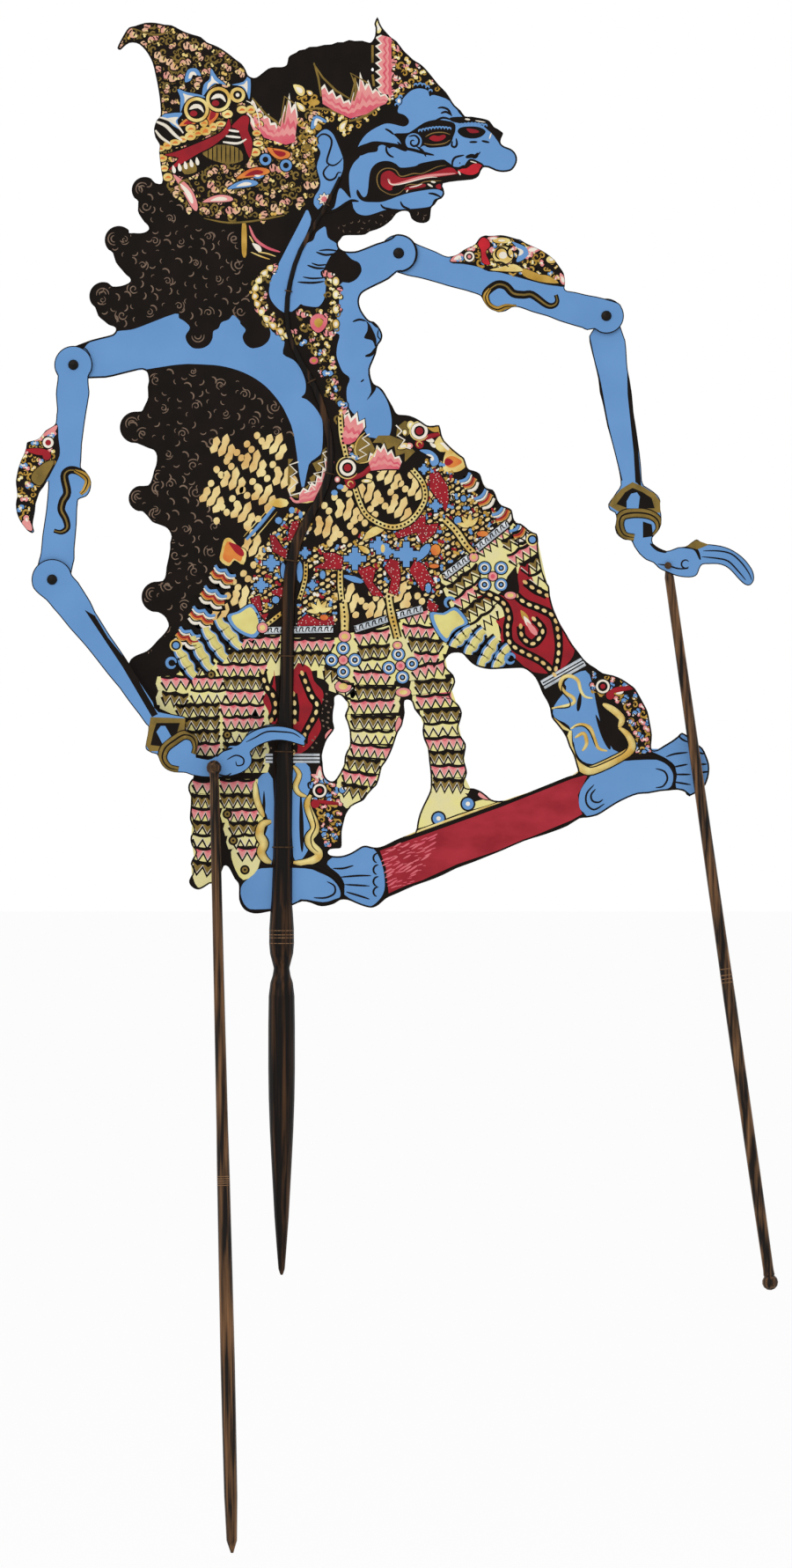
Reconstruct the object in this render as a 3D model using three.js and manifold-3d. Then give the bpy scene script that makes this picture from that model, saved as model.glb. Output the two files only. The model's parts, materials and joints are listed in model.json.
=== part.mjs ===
// A shadow puppet: one flat painted hide figure, four hide arm pieces and three horn rods.
// Millimetres, +Z up. The figure is seen from the front along +Y, and the origin is the main rod's tip.
import * as THREE from 'three';
import { mergeVertices } from 'three/addons/utils/BufferGeometryUtils.js';
import Module from 'manifold-3d';

const wasm = await Module();
wasm.setup();

// Hide sheets
const hideThickness = 1.6;
const layerGap = 0.6;
const seatGap = 0.3;
const jointRadius = 13;

// Pivots of the arms on the flat figure, each as [x, z]
const leftShoulder = [-141.9, 620];
const leftElbow = [-156.2, 473.6];
const leftTie = [-45.7, 345.5];
const rightShoulder = [79.8, 696.2];
const rightElbow = [221.5, 653.7];
const rightTie = [263, 483];

// How far each arm piece bows forward (minus) or back (plus) from one end to the other
const leftUpperBow = -2.4;
const leftForearmBow = -5.8;
const rightUpperBow = 1.8;
const rightForearmBow = -18.6;
const bowSteps = 6;
const bowStart = 15;
const deepBowStart = 30;

// Rivets
const pinRadius = 2.2;
const rivetHeadRadius = 3.6;
const rivetHeadHeight = 1.6;
const buttonRadius = 3.4;
const buttonThickness = 1.3;
const buttonEdge = 0.4;
const roundSegments = 12;
const holeEase = 0.1;

// Cord ties at the hands
const tieCordRadius = 0.9;
const tieKnotRadius = 2.5;
const tieKnotThickness = 3;

// Main rod: its turned handle as [height, radius], and its split limbs as [x, z, half width]
const handleProfile = [
  [0, 0.8], [4, 2.2], [20, 3.5], [40, 5], [60, 6.1], [80, 7.2], [100, 8.2], [120, 8.9], [140, 9.2],
  [170, 9.2], [190, 8.9], [199, 7.8], [204, 6.2], [209, 5.4], [214, 6.7], [219, 8], [226, 8.6],
  [236, 8.5], [247, 7.8], [256, 7],
];
const limbCentre = [
  [0, 250, 7.2], [0.5, 270, 6.8], [0.8, 300, 6.3], [1.2, 330, 6.2], [2, 360, 6], [3, 390, 5], [3.8, 420, 4.7],
  [4.3, 445, 4.5], [5.3, 472, 4.3], [9, 496, 3.8], [17.5, 514, 3.3], [28, 533, 2.8], [33, 549, 2.6],
  [33.2, 565, 2.5], [29.5, 585, 2.4], [22, 606, 2.3], [11, 626, 2.1], [4.6, 643, 1.9], [3.5, 657, 1.8],
  [5, 672, 1.7], [11, 694, 1.6], [20, 711, 1.5], [30, 728, 1.4], [40, 748, 1.2],
];
const limbSteps = 46;
const limbSectionSteps = 5;
const limbFlatness = 0.7;
const slotFloorGap = 1.5;
const handleSegments = 18;

// Thread stitches that bind the two limbs through the hide
const stitchCount = 8;
const stitchRadius = 0.45;
const stitchHoleRadius = 0.9;
const stitchHoleCorners = 6;
const shareBelowStitches = 0.08;
const shareAboveStitches = 0.04;

// Arm rods: profiles as [distance below the eye, radius], tilt from the vertical in degrees
const leftRodProfile = [
  [7.5, 2.9], [15, 3.3], [145, 3.6], [245, 4], [270, 4.3], [345, 4.7], [405, 4.9], [445, 4.8], [495, 4.5],
  [525, 3.6], [533.5, 0.9],
];
const leftRodTilt = 1.32;
const leftKnobRadius = 5.2;
const rightRodProfile = [
  [8, 3.2], [60, 3.4], [160, 3.7], [270, 4], [300, 4.2], [420, 4], [484, 3.6], [487.5, 3.9],
];
const rightRodTilt = 8.14;
const rightHeadRadius = 3.3;
const rightEndKnobRadius = 5.5;
const rightRodLength = 492.5;
const rodSegments = 12;
const ballSteps = 5;
const ballNeckAngle = 50;

// Curled knobs of hair behind the head and back, each as [x, z] and a radius
const hairKnobs = [
  [[-85, 462], 10.5], [[-95.5, 529], 8.8], [[-99.5, 577.5], 10.8], [[-121.5, 667], 9.6], [[-111, 705.2], 9.6],
  [[-93.3, 739.3], 8.9],
];

// Materials
const material = (color, roughness) => new THREE.MeshStandardMaterial({ color, roughness, metalness: 0 });
const bodyPaint = material('#6f8fb8', 0.6);
const armPaint = material('#6b9bd1', 0.6);
const horn = material('#2a1c14', 0.35);
const rivetHorn = material('#17110d', 0.4);
const cord = material('#3a2a1c', 0.9);
const thread = material('#241a12', 0.9);

const assembly = new THREE.Group();

// Places points that are given from a pivot
function from(pivot, offsets) {
  return offsets.map(([x, z]) => [pivot[0] + x, pivot[1] + z]);
}

// Points of an arc, angles in degrees from +X towards +Z
function arc(centre, radius, startDeg, endDeg, steps) {
  const points = [];
  for (let i = 0; i <= steps; i += 1) {
    const angle = THREE.MathUtils.degToRad(startDeg + ((endDeg - startDeg) * i) / steps);
    points.push([centre[0] + radius * Math.cos(angle), centre[1] + radius * Math.sin(angle)]);
  }
  return points;
}

// Joins equal corners, drops collapsed triangles and turns the faces outwards
function closed(geometry) {
  geometry.deleteAttribute('normal');
  geometry.deleteAttribute('uv');
  const welded = mergeVertices(geometry, 1e-4);
  const spot = welded.getAttribute('position');
  const corners = welded.getIndex().array;
  const kept = [];
  let volume = 0;
  const [a, b, c] = [new THREE.Vector3(), new THREE.Vector3(), new THREE.Vector3()];
  for (let i = 0; i < corners.length; i += 3) {
    const [p, q, r] = [corners[i], corners[i + 1], corners[i + 2]];
    if (p !== q && q !== r && r !== p) {
      kept.push(p, q, r);
      a.fromBufferAttribute(spot, p);
      b.fromBufferAttribute(spot, q);
      c.fromBufferAttribute(spot, r);
      volume += a.dot(b.cross(c));
    }
  }
  if (volume < 0) {
    kept.reverse();
  }
  welded.setIndex(kept);
  return welded;
}

function toSolid(geometry) {
  const welded = closed(geometry);
  return new wasm.Manifold(new wasm.Mesh({
    numProp: 3,
    vertProperties: new Float32Array(welded.getAttribute('position').array),
    triVerts: new Uint32Array(welded.getIndex().array),
  }));
}

function fromSolid(solid) {
  const mesh = solid.getMesh();
  const geometry = new THREE.BufferGeometry();
  geometry.setAttribute('position', new THREE.BufferAttribute(new Float32Array(mesh.vertProperties), 3));
  geometry.setIndex(Array.from(mesh.triVerts));
  return geometry;
}

function add(name, geometry, finish) {
  geometry.computeVertexNormals();
  const mesh = new THREE.Mesh(geometry, finish);
  mesh.name = name;
  assembly.add(mesh);
  return mesh;
}

// A sheet cut to an outline of [x, z] points, with holes, centred on the plane y = middle
function sheet(outline, holes, middle) {
  const points = outline.map(([x, z]) => new THREE.Vector2(x, z));
  if (THREE.ShapeUtils.isClockWise(points)) {
    points.reverse();
  }
  const shape = new THREE.Shape(points);
  for (const hole of holes) {
    shape.holes.push(new THREE.Path(hole.map(([x, z]) => new THREE.Vector2(x, z))));
  }
  const geometry = new THREE.ExtrudeGeometry(shape, { depth: hideThickness, bevelEnabled: false });
  geometry.rotateX(Math.PI / 2);
  geometry.translate(0, middle + hideThickness / 2, 0);
  return geometry;
}

function roundHole(centre, radius, corners = roundSegments) {
  return arc(centre, radius, 0, 360 - 360 / corners, corners - 1);
}

// Cuts every triangle that crosses the line s = at, where s is a point's distance along the arm
function splitTriangles(triangles, distance, at) {
  const out = [];
  const near = 1e-6;
  const meet = (p, q) => {
    const [nearer, further] = distance(p) < distance(q) ? [p, q] : [q, p];
    const share = (at - distance(nearer)) / (distance(further) - distance(nearer));
    return nearer.clone().lerp(further, share);
  };
  for (const triangle of triangles) {
    const side = triangle.map((p) => distance(p) - at);
    if (side.every((d) => d >= -near) || side.every((d) => d <= near)) {
      out.push(triangle);
      continue;
    }
    const low = [];
    const high = [];
    triangle.forEach((p, i) => {
      const q = triangle[(i + 1) % 3];
      const [dp, dq] = [side[i], side[(i + 1) % 3]];
      if (dp <= near) low.push(p);
      if (dp >= -near) high.push(p);
      if ((dp < -near && dq > near) || (dp > near && dq < -near)) {
        const cut = meet(p, q);
        low.push(cut);
        high.push(cut);
      }
    });
    for (const part of [low, high]) {
      for (let i = 1; i + 1 < part.length; i += 1) {
        out.push([part[0], part[i], part[i + 1]]);
      }
    }
  }
  return out;
}

// Bows a sheet between two pivots: flat near each, with a rise along Y between them in even facets
function bow(geometry, near, far, flatNear, rise) {
  const start = new THREE.Vector2(near[0], near[1]);
  const along = new THREE.Vector2(far[0], far[1]).sub(start);
  const length = along.length();
  along.normalize();
  const distance = (p) => (p.x - start.x) * along.x + (p.z - start.y) * along.y;
  const flatFar = length - jointRadius;
  const loose = geometry.index ? geometry.toNonIndexed() : geometry;
  const spot = loose.getAttribute('position');
  let triangles = [];
  for (let i = 0; i < spot.count; i += 3) {
    triangles.push([0, 1, 2].map((k) => new THREE.Vector3().fromBufferAttribute(spot, i + k)));
  }
  for (let i = 0; i <= bowSteps; i += 1) {
    triangles = splitTriangles(triangles, distance, flatNear + ((flatFar - flatNear) * i) / bowSteps);
  }
  const height = (step) => rise * THREE.MathUtils.smoothstep(step / bowSteps, 0, 1);
  const bent = [];
  for (const p of triangles.flat()) {
    const place = ((distance(p) - flatNear) / (flatFar - flatNear)) * bowSteps;
    const step = THREE.MathUtils.clamp(place, 0, bowSteps);
    const low = Math.min(Math.floor(step), bowSteps - 1);
    bent.push(p.x, p.y + height(low) + (height(low + 1) - height(low)) * (step - low), p.z);
  }
  const result = new THREE.BufferGeometry();
  result.setAttribute('position', new THREE.Float32BufferAttribute(bent, 3));
  return result;
}

// Drills round holes along Y, each given as [centre, radius]
function drill(geometry, holes) {
  let solid = toSolid(geometry);
  geometry.computeBoundingBox();
  const { min, max } = geometry.boundingBox;
  for (const [[x, z], radius] of holes) {
    const bit = new THREE.CylinderGeometry(radius, radius, 2 * (max.y - min.y), roundSegments);
    bit.translate(x, (min.y + max.y) / 2, z);
    solid = solid.subtract(toSolid(bit));
  }
  return fromSolid(solid);
}

// Body hide, clockwise from the tip of the crown
const crownTop = [
  [-112, 836], [-110, 840.5], [-107, 846], [-104, 850], [-100, 851], [-93, 853.2], [-86, 853.2], [-80, 852],
  [-75, 851.5], [-70, 849], [-66, 847], [-60, 845], [-55, 843.5], [-51, 840], [-46, 838], [-41, 835.5],
  [-36, 832], [-31, 828], [-27, 825], [-24.5, 821], [-23, 817.5], [-20, 815.8],
];
const hairTop = [
  [-17, 816], [-13, 819], [-9, 822], [-5, 823], [0, 823], [3.5, 824.5], [4.5, 829], [6, 831], [10, 833],
  [12, 834.5], [16, 835.2], [19, 836.8], [24, 837], [29, 838.2], [34, 838.5], [38, 840], [42, 840],
  [46, 841.5], [50, 840.8], [55, 841], [60, 839.6],
];
const headCrest = [
  [62, 841], [63.7, 844.5], [64, 850], [63.2, 852.5], [65.3, 857.2], [67, 853], [69, 849.5], [72, 846],
  [75, 843], [78.5, 840.5], [83, 834.5], [89, 828.5], [94, 825.5], [98, 822], [103, 816], [107, 811],
  [112, 806], [115, 801.5], [118, 797], [122, 793.5], [125, 789.5],
];
const browAndNose = [
  [129, 789.3], [133, 788.7], [139, 787.5], [142, 786], [144.5, 782.5], [147, 781], [150, 779], [151, 777.5],
  [149.5, 774], [149.5, 771], [152, 769], [156, 767.5], [159, 765], [160.5, 761.5], [160.3, 758],
  [158.5, 754.5], [156, 752.3], [151, 751.5], [146, 752.3], [141, 754.5], [137, 754.5], [135.5, 751.5],
  [134, 748.5], [130, 746.5], [120, 745.5], [110, 743.8],
];
const lipAndBeard = [
  [110.5, 740], [111, 736.5], [109, 733.5], [106.5, 732.5], [104.5, 729.5], [102, 727], [101.5, 722],
  [100.5, 718.5], [97, 716.8], [92, 717.5], [88.5, 720], [87.5, 723], [86, 724.8], [82, 725], [78, 723],
  [75, 719], [70, 715], [65, 712.5], [60, 711], [57, 709], [52, 708.5], [46, 708.5], [42, 708],
];
const throat = [
  [40, 705.5], [38.5, 703.5], [39, 700.5], [41, 698.5], [44, 697.5], [50, 697.5], [55, 699], [60, 701],
  [65, 703], [70, 704.5], [75, 706.7],
];
const chest = [
  [73, 678.5], [65, 674.5], [58, 671], [54.5, 668.5], [53, 665], [53, 661.5], [54.5, 657], [58, 652],
  [60.5, 650], [63, 649.5], [66, 646.5], [68, 643], [68.8, 640], [68, 636.5], [66, 634], [65, 631],
  [64.3, 627.5], [62, 622], [60.2, 617], [61, 611], [63, 607], [66, 605.5], [69, 603], [72, 598],
  [75.5, 592], [77.5, 588], [79.5, 586.3],
];
const waistOrnament = [
  [83, 586], [87, 585.5], [92, 583.5], [96, 581], [99, 579], [103, 578.5], [107.5, 579], [109, 573],
  [111, 568.5], [117, 562.5], [122, 558.5], [124.5, 556.5], [126, 552], [127.5, 549], [131, 548], [135, 546],
  [136.5, 542], [138, 538], [140, 536], [144, 535], [146, 531.5], [147.5, 527.5], [150, 524.5], [154, 523],
  [157, 521], [158, 516], [160, 512.5], [163, 512], [167, 509], [169.5, 506.5], [174, 505],
];
const skirtFront = [
  [175, 500], [175, 496], [176, 490], [177, 484], [178.5, 478], [180.5, 472], [182.5, 469], [183, 463],
  [185, 455], [187, 450], [190, 443.5], [194, 437], [198, 430], [203, 423.5], [206, 419.5], [210, 416],
  [214, 413.5], [219, 410], [226, 408.5], [232, 406], [238, 402], [241, 399.5], [244, 394.5], [247, 389],
  [249.5, 384], [251, 377], [252.5, 368], [252, 361.5], [252.5, 358],
];
const rightFoot = [
  [256, 358], [261, 361], [266, 364], [270, 367], [273, 369.5], [278, 366.5], [283, 362], [287, 359],
  [289.5, 354], [291.5, 348], [291.5, 342], [290, 336], [287, 331.5], [278, 326], [275, 329], [270, 330.5],
  [264, 330], [258, 329.5], [250, 328], [243, 327.5], [236, 325], [228, 321], [221, 316.5], [215, 313],
  [208, 311.5], [203, 311],
];
const groundStrip = [
  [195, 306], [185, 302], [176, 299], [165, 295.5], [150, 289], [140, 285], [130, 281], [119, 277],
  [110, 272.5], [100, 268.5], [90, 265], [80, 260.5], [73, 257.5], [70, 255.5],
];
const leftFoot = [
  [66, 252], [63, 250.5], [60, 250.2], [55, 251.5], [50, 253.5], [45, 255.5], [40, 255.5], [36, 253],
  [30, 251.3], [25, 251.5], [20, 253.5], [14, 254.5], [8, 252], [0, 249], [-9, 247.5], [-14, 246.5],
  [-19, 246.3], [-24, 248], [-27, 251], [-29, 256], [-29, 263], [-29.5, 267],
];
const heelTails = [
  [-32, 270], [-35, 276], [-37, 278.5], [-39.5, 278.5], [-42, 272], [-46.5, 267], [-49, 266.5], [-53, 264],
  [-56.5, 262.5], [-60, 263.5], [-62.5, 266], [-63, 269], [-61, 273], [-60.5, 276], [-62, 280],
  [-60.5, 284], [-58.5, 288], [-60.5, 291], [-62, 295], [-62, 299], [-60, 303], [-61, 306], [-62.5, 310],
  [-62.5, 314], [-62, 320], [-62, 326], [-63.5, 330], [-63.5, 334], [-61.5, 337.5], [-60, 340],
];
const skirtBack = [
  [-64, 350], [-69, 362], [-76, 372], [-83, 378], [-88, 386], [-95, 396], [-102, 408], [-104, 417],
  [-101, 421], [-97, 423], [-92, 425], [-88, 428.5], [-84, 433], [-80, 437], [-77, 442], [-78, 446],
  [-80, 449],
];
const betweenLowKnobs = [
  [-81, 473], [-79, 477], [-78.5, 482], [-77, 489], [-76, 495], [-76, 499], [-75, 503], [-76.5, 507],
  [-79, 509.5], [-84, 511.5], [-88, 513], [-91, 516.5],
];
const betweenMiddleKnobs = [
  [-91, 538], [-88.5, 542], [-87, 548], [-85.5, 552], [-85, 558], [-87, 562], [-91, 563.5],
];
const hairToStub = [
  [-95.5, 588.5], [-94, 591], [-92.5, 594], [-91, 598], [-91.3, 605], [-90.5, 609], [-91, 613],
  [-92, 615.5], [-95, 616.8], [-100, 616], [-110, 613.5], [-120, 611.3],
];
const stubToKnob = [
  [-130, 637], [-120, 639.5], [-115, 641], [-113, 643.5], [-113.3, 645.5], [-115, 646.5], [-118, 647.5],
  [-121, 650], [-125, 653.5],
];
const betweenHighKnobs = [
  [-117, 675], [-115, 673.5], [-110, 673.8], [-106, 675], [-103, 677], [-103.5, 679.5], [-106, 681.5],
  [-109, 685], [-113, 690],
];
const betweenTopKnobs = [
  [-104, 710], [-101, 710], [-97, 709.8], [-93, 710.5], [-90.5, 712.5], [-91, 715], [-93.5, 717.5],
  [-96, 721], [-98, 725],
];
const crownBack = [
  [-86, 744], [-81, 744], [-82, 752], [-83.5, 765], [-83, 770], [-86, 775], [-87, 781], [-85, 787],
  [-82.5, 790], [-82.7, 798], [-84, 808], [-86, 818], [-88, 826], [-91, 832], [-95, 837], [-99, 839.5],
  [-104, 839.5], [-108, 836.5], [-110, 834.8],
];
const knob = (i, startDeg, endDeg, steps) => arc(...hairKnobs[i], startDeg, endDeg, steps);
const bodyOutline = [
  ...crownTop, ...hairTop, ...headCrest, ...browAndNose, ...lipAndBeard, ...throat,
  ...arc(rightShoulder, jointRadius, 100, -95, 12),
  ...chest, ...waistOrnament, ...skirtFront, ...rightFoot, ...groundStrip, ...leftFoot, ...heelTails,
  ...skirtBack,
  ...knob(0, 275, 100, 9),
  ...betweenLowKnobs,
  ...knob(1, 275, 100, 9),
  ...betweenMiddleKnobs,
  ...knob(2, 275, 95, 9),
  ...hairToStub,
  ...arc(leftShoulder, jointRadius, -45, -275, 12),
  ...stubToKnob,
  ...knob(3, 235, 75, 8),
  ...betweenHighKnobs,
  ...knob(4, 245, 45, 9),
  ...betweenTopKnobs,
  ...knob(5, 240, 60, 8),
  ...crownBack,
];

// Openings cut through the hide between the legs and the tails
const openingByFrontLeg = [
  [36, 393.5], [38.5, 395.3], [41, 394.5], [43.5, 391.5], [45.5, 389], [44.5, 385], [43, 381], [44.5, 377],
  [46, 372], [46.5, 367], [46.5, 361], [44.5, 357], [43, 353], [42.5, 348], [40.5, 343.5], [38.5, 340],
  [36, 336.8], [33, 336.5], [30, 339], [28.5, 343], [28, 349], [27.5, 354], [29, 360], [31, 365], [34, 369],
  [36, 372.5], [35, 377], [35, 383], [36, 389],
];
const openingBetweenLegs = [
  [84, 391.5], [83.5, 388], [84, 383], [83, 378], [82, 374], [79.5, 370], [78, 366], [76, 360], [73.5, 354],
  [71, 349.5], [68.5, 346], [67, 340], [65, 334], [62, 331], [58.5, 327], [56, 323.5], [52, 321.5],
  [47.5, 319], [44, 314], [42.5, 309], [41, 302], [41, 295], [40.5, 291], [37, 290.5], [33, 290],
  [31.5, 288], [33, 286], [38, 285.3], [43, 286], [48, 288], [52, 290.5], [55, 292.2], [58, 292.5],
  [61, 291.7], [65, 291.2], [70, 292.5], [77, 296], [84, 299], [91, 301.5], [92.5, 308], [94, 314],
  [97, 321], [100, 327], [101.5, 332], [101.5, 341], [100.5, 350], [99.5, 359], [97, 365], [96, 371],
  [96.5, 377], [94, 381], [90.5, 385.5], [89, 390], [87, 391.8],
];
const openingByRearLeg = [
  [111, 417.5], [114, 422.5], [118, 424], [123, 423.5], [126, 420.5], [130, 416.5], [135, 414],
  [142, 412.7], [150, 413], [160, 413.5], [165, 413.3], [169, 411], [173, 407], [176, 401], [178, 396],
  [181, 391], [183, 386], [184, 380], [187, 376], [191, 371], [194, 366], [196, 360], [199, 354],
  [201, 347], [202, 343], [200, 341], [195, 339.5], [185, 335.5], [175, 331.5], [165, 327.5], [155, 324],
  [148, 323], [143, 324], [140, 326.5], [136, 329.5], [131, 331.5], [127, 331.7], [124.5, 333], [125, 337],
  [126.5, 342], [125.5, 347], [124.5, 352], [125.5, 358], [125.5, 362], [123, 366], [121, 370],
  [120.5, 373], [122, 378], [123, 383], [121, 388], [117.5, 391.5], [115, 394.5], [116.5, 399],
  [118.5, 404], [117, 409], [113.5, 412.5],
];
const openingInCrown = [[61.4, 820.4], [62.6, 820.4], [62.8, 821.8], [62, 822.7], [61.2, 821.8]];

// The limbs of the main rod follow one curve, with the half width carried as its y
const limbCurve = new THREE.CatmullRomCurve3(
  limbCentre.map(([x, z, halfWidth]) => new THREE.Vector3(x, halfWidth, z)),
);
const slotHalf = hideThickness / 2 + seatGap;

function limbStation(share) {
  const spot = limbCurve.getPointAt(share);
  const heading = limbCurve.getTangentAt(share);
  const across = new THREE.Vector2(heading.z, -heading.x).normalize();
  const depth = Math.max(spot.y - slotHalf, limbFlatness * spot.y);
  return { x: spot.x, z: spot.z, halfWidth: spot.y, across, depth };
}

// Where each stitch lies, and the two holes that it needs in the hide
const stitches = [];
for (let i = 0; i < stitchCount; i += 1) {
  const spread = 1 - shareBelowStitches - shareAboveStitches;
  const station = limbStation(shareBelowStitches + (spread * i) / (stitchCount - 1));
  const reach = station.halfWidth + seatGap + stitchRadius;
  stitches.push({ ...station, reach, rise: slotHalf + station.depth + seatGap + stitchRadius });
}
const stitchHoles = stitches.flatMap(({ x, z, across, reach }) => [-1, 1].map((side) => roundHole(
  [x + side * reach * across.x, z + side * reach * across.y], stitchHoleRadius, stitchHoleCorners,
)));

const pinHoleRadius = pinRadius + seatGap + holeEase;
const bodyHoles = [
  openingByFrontLeg, openingBetweenLegs, openingByRearLeg, openingInCrown,
  roundHole(leftShoulder, pinHoleRadius), roundHole(rightShoulder, pinHoleRadius), ...stitchHoles,
];
add('body_hide', closed(sheet(bodyOutline, bodyHoles, 0)), bodyPaint);

// Hide arms. Each outline turns anticlockwise from its pivot's round end.
const layer = hideThickness + layerGap;
const tieHoleRadius = tieCordRadius + seatGap + holeEase;

const leftUpperOutline = [
  ...arc(leftShoulder, jointRadius, -38, 215, 14),
  ...from(leftShoulder, [
    [-11.9, -20], [-11.1, -30], [-12.1, -40], [-15.1, -42.5], [-19.1, -45], [-22.1, -49], [-25.1, -51],
    [-29.1, -52], [-31.6, -53], [-32.1, -56.5], [-33.6, -61], [-35.6, -65], [-37.6, -71], [-39.1, -79],
    [-38.6, -84], [-38.1, -89], [-39.1, -95], [-38.4, -101], [-36.1, -106.5], [-33.6, -110],
    [-31.1, -113], [-28.1, -114.7], [-26.6, -113.5], [-27.6, -109], [-27.1, -105], [-26.1, -100],
    [-25.6, -94], [-23.1, -87], [-20.1, -83], [-17.1, -79],
  ]),
  ...from(leftElbow, [[-3.3, 56.4], [-4.3, 46.4], [-5.8, 36.4], [-6.8, 29.4], [-7.8, 18.4]]),
  ...arc(leftElbow, jointRadius, 145, 372, 12),
  ...from(leftElbow, [
    [15.2, 14.4], [15.2, 20.9], [15.7, 26.4], [16.7, 38.4], [17, 48.4], [17.7, 54.4], [20.2, 55.7],
    [23.2, 56.9], [25.7, 60.4], [26.5, 66.4], [25.2, 70.4], [22.2, 74.4], [19.5, 76.4],
  ]),
  ...from(leftShoulder, [[5.4, -65], [5.9, -54], [7.4, -42], [8.9, -32], [10.9, -20]]),
];
const leftUpperMiddle = -layer;
const leftUpper = bow(
  sheet(leftUpperOutline, [], leftUpperMiddle), leftShoulder, leftElbow, bowStart, leftUpperBow,
);
add('left_upper_arm', drill(leftUpper, [[leftShoulder, pinHoleRadius], [leftElbow, pinHoleRadius]]), armPaint);

const leftForearmOutline = [
  ...arc(leftElbow, jointRadius + 1, 12, 205, 12),
  ...from(leftElbow, [
    [-8.8, -10.1], [-3.8, -14.1], [1.2, -20.1], [5.2, -24.6], [11.2, -32.1], [23.2, -45.6], [31.2, -55.6],
    [38.2, -64.6],
  ]),
  ...from(leftTie, [
    [-64.3, 54], [-58.3, 45.5], [-51.3, 36.5], [-46.3, 29.5], [-44.8, 28], [-45.3, 22.5], [-46.8, 14.5],
    [-45.8, 12], [-42.3, 10], [-38.8, 9], [-37.3, 5.5], [-35.3, 1.5], [-31.8, -1.5], [-27.3, -3],
    [-19.3, -3.5], [-15.3, -5], [-10.3, -6], [-5.3, -6.5], [5.7, -6.5], [12.7, -5.5], [18.7, -3.5],
    [23.2, -0.5], [25.7, 3.5], [25.7, 7.5], [24.7, 10.5], [28.7, 14], [33.7, 16.5], [39.7, 18.2],
    [45.7, 18.5], [51.7, 17.5], [56.7, 16], [60.2, 15], [62.2, 15.5], [61.7, 18], [62.7, 20],
    [60.7, 22.5], [58.7, 24.5], [53.7, 27], [47.7, 29.2], [41.7, 29.8], [35.7, 29.3], [29.7, 27.3],
    [23.7, 25], [20.7, 21], [17.7, 17], [14.7, 15.5], [10.7, 15.5], [7.7, 13], [3.7, 10], [-0.3, 7.5],
    [-4.3, 6], [-11.8, 7.5], [-11.8, 11.5], [-10.8, 17.5], [-11.8, 21.5], [-15.3, 23.5], [-19.3, 23],
    [-19.3, 28.5], [-20.3, 35], [-37.8, 38.5], [-42.3, 46.5], [-48.3, 55.5],
  ]),
  ...from(leftElbow, [
    [56.2, -63.6], [52.2, -56.6], [46.2, -47.6], [39.2, -37.6], [34.2, -29.6], [29.2, -21.6],
    [26.2, -15.1], [22.2, -8.6], [17.7, -1.6],
  ]),
];
const leftForearmMiddle = leftUpperMiddle + leftUpperBow - layer;
const leftHandMiddle = leftForearmMiddle + leftForearmBow;
const leftForearm = bow(
  sheet(leftForearmOutline, [], leftForearmMiddle), leftElbow, leftTie, bowStart, leftForearmBow,
);
add('left_forearm', drill(leftForearm, [[leftElbow, pinHoleRadius], [leftTie, tieHoleRadius]]), armPaint);

const rightUpperOutline = [
  ...arc(rightShoulder, jointRadius, 35, 265, 14),
  ...from(rightShoulder, [
    [6.2, -15.2], [15.2, -17], [25.2, -19.7], [35.2, -22.7], [45.2, -25.2], [53.2, -27.7], [56.2, -29.2],
    [57.7, -32.2], [60.2, -35.7], [63.2, -38.2], [68.2, -40], [73.2, -39.2], [77.2, -36.7],
  ]),
  ...from(rightElbow, [
    [-60.5, 6], [-56.5, 4.8], [-49.5, 2.3], [-40.5, -0.2], [-31.5, -3.7], [-23.5, -6.2], [-16.5, -8.2],
    [-13, -9.7],
  ]),
  ...arc(rightElbow, jointRadius - 1, 228, 408, 10),
  ...from(rightElbow, [[-0.5, 11.6], [-6.5, 13.1], [-14.5, 14.6], [-21.5, 16.3], [-27, 17.1]]),
  ...from(rightShoulder, [
    [113.2, -23.7], [113.5, -19.2], [112.7, -13.7], [110.2, -9.7], [106.2, -4.2], [101.2, -0.2],
    [97.2, 2.3], [92.2, 4.6], [87.2, 6.8], [83.2, 9.3], [79.2, 10.3], [74.2, 11.8], [69.2, 12.5],
    [63.2, 11.8], [59.2, 12.3], [56.2, 11.3], [54.2, 9.3], [51.7, 5.8], [48.2, 4.3], [44.2, 2.3],
    [40.2, -0.7], [37.2, -1.7], [33.7, -2.2], [30.2, -1.2], [25.2, 1.3], [20.2, 3.3], [15.2, 5.3],
  ]),
];
const rightUpperMiddle = layer;
const rightUpper = bow(
  sheet(rightUpperOutline, [], rightUpperMiddle), rightShoulder, rightElbow, bowStart, rightUpperBow,
);
add('right_upper_arm', drill(rightUpper, [[rightShoulder, pinHoleRadius], [rightElbow, pinHoleRadius]]), armPaint);

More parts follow.
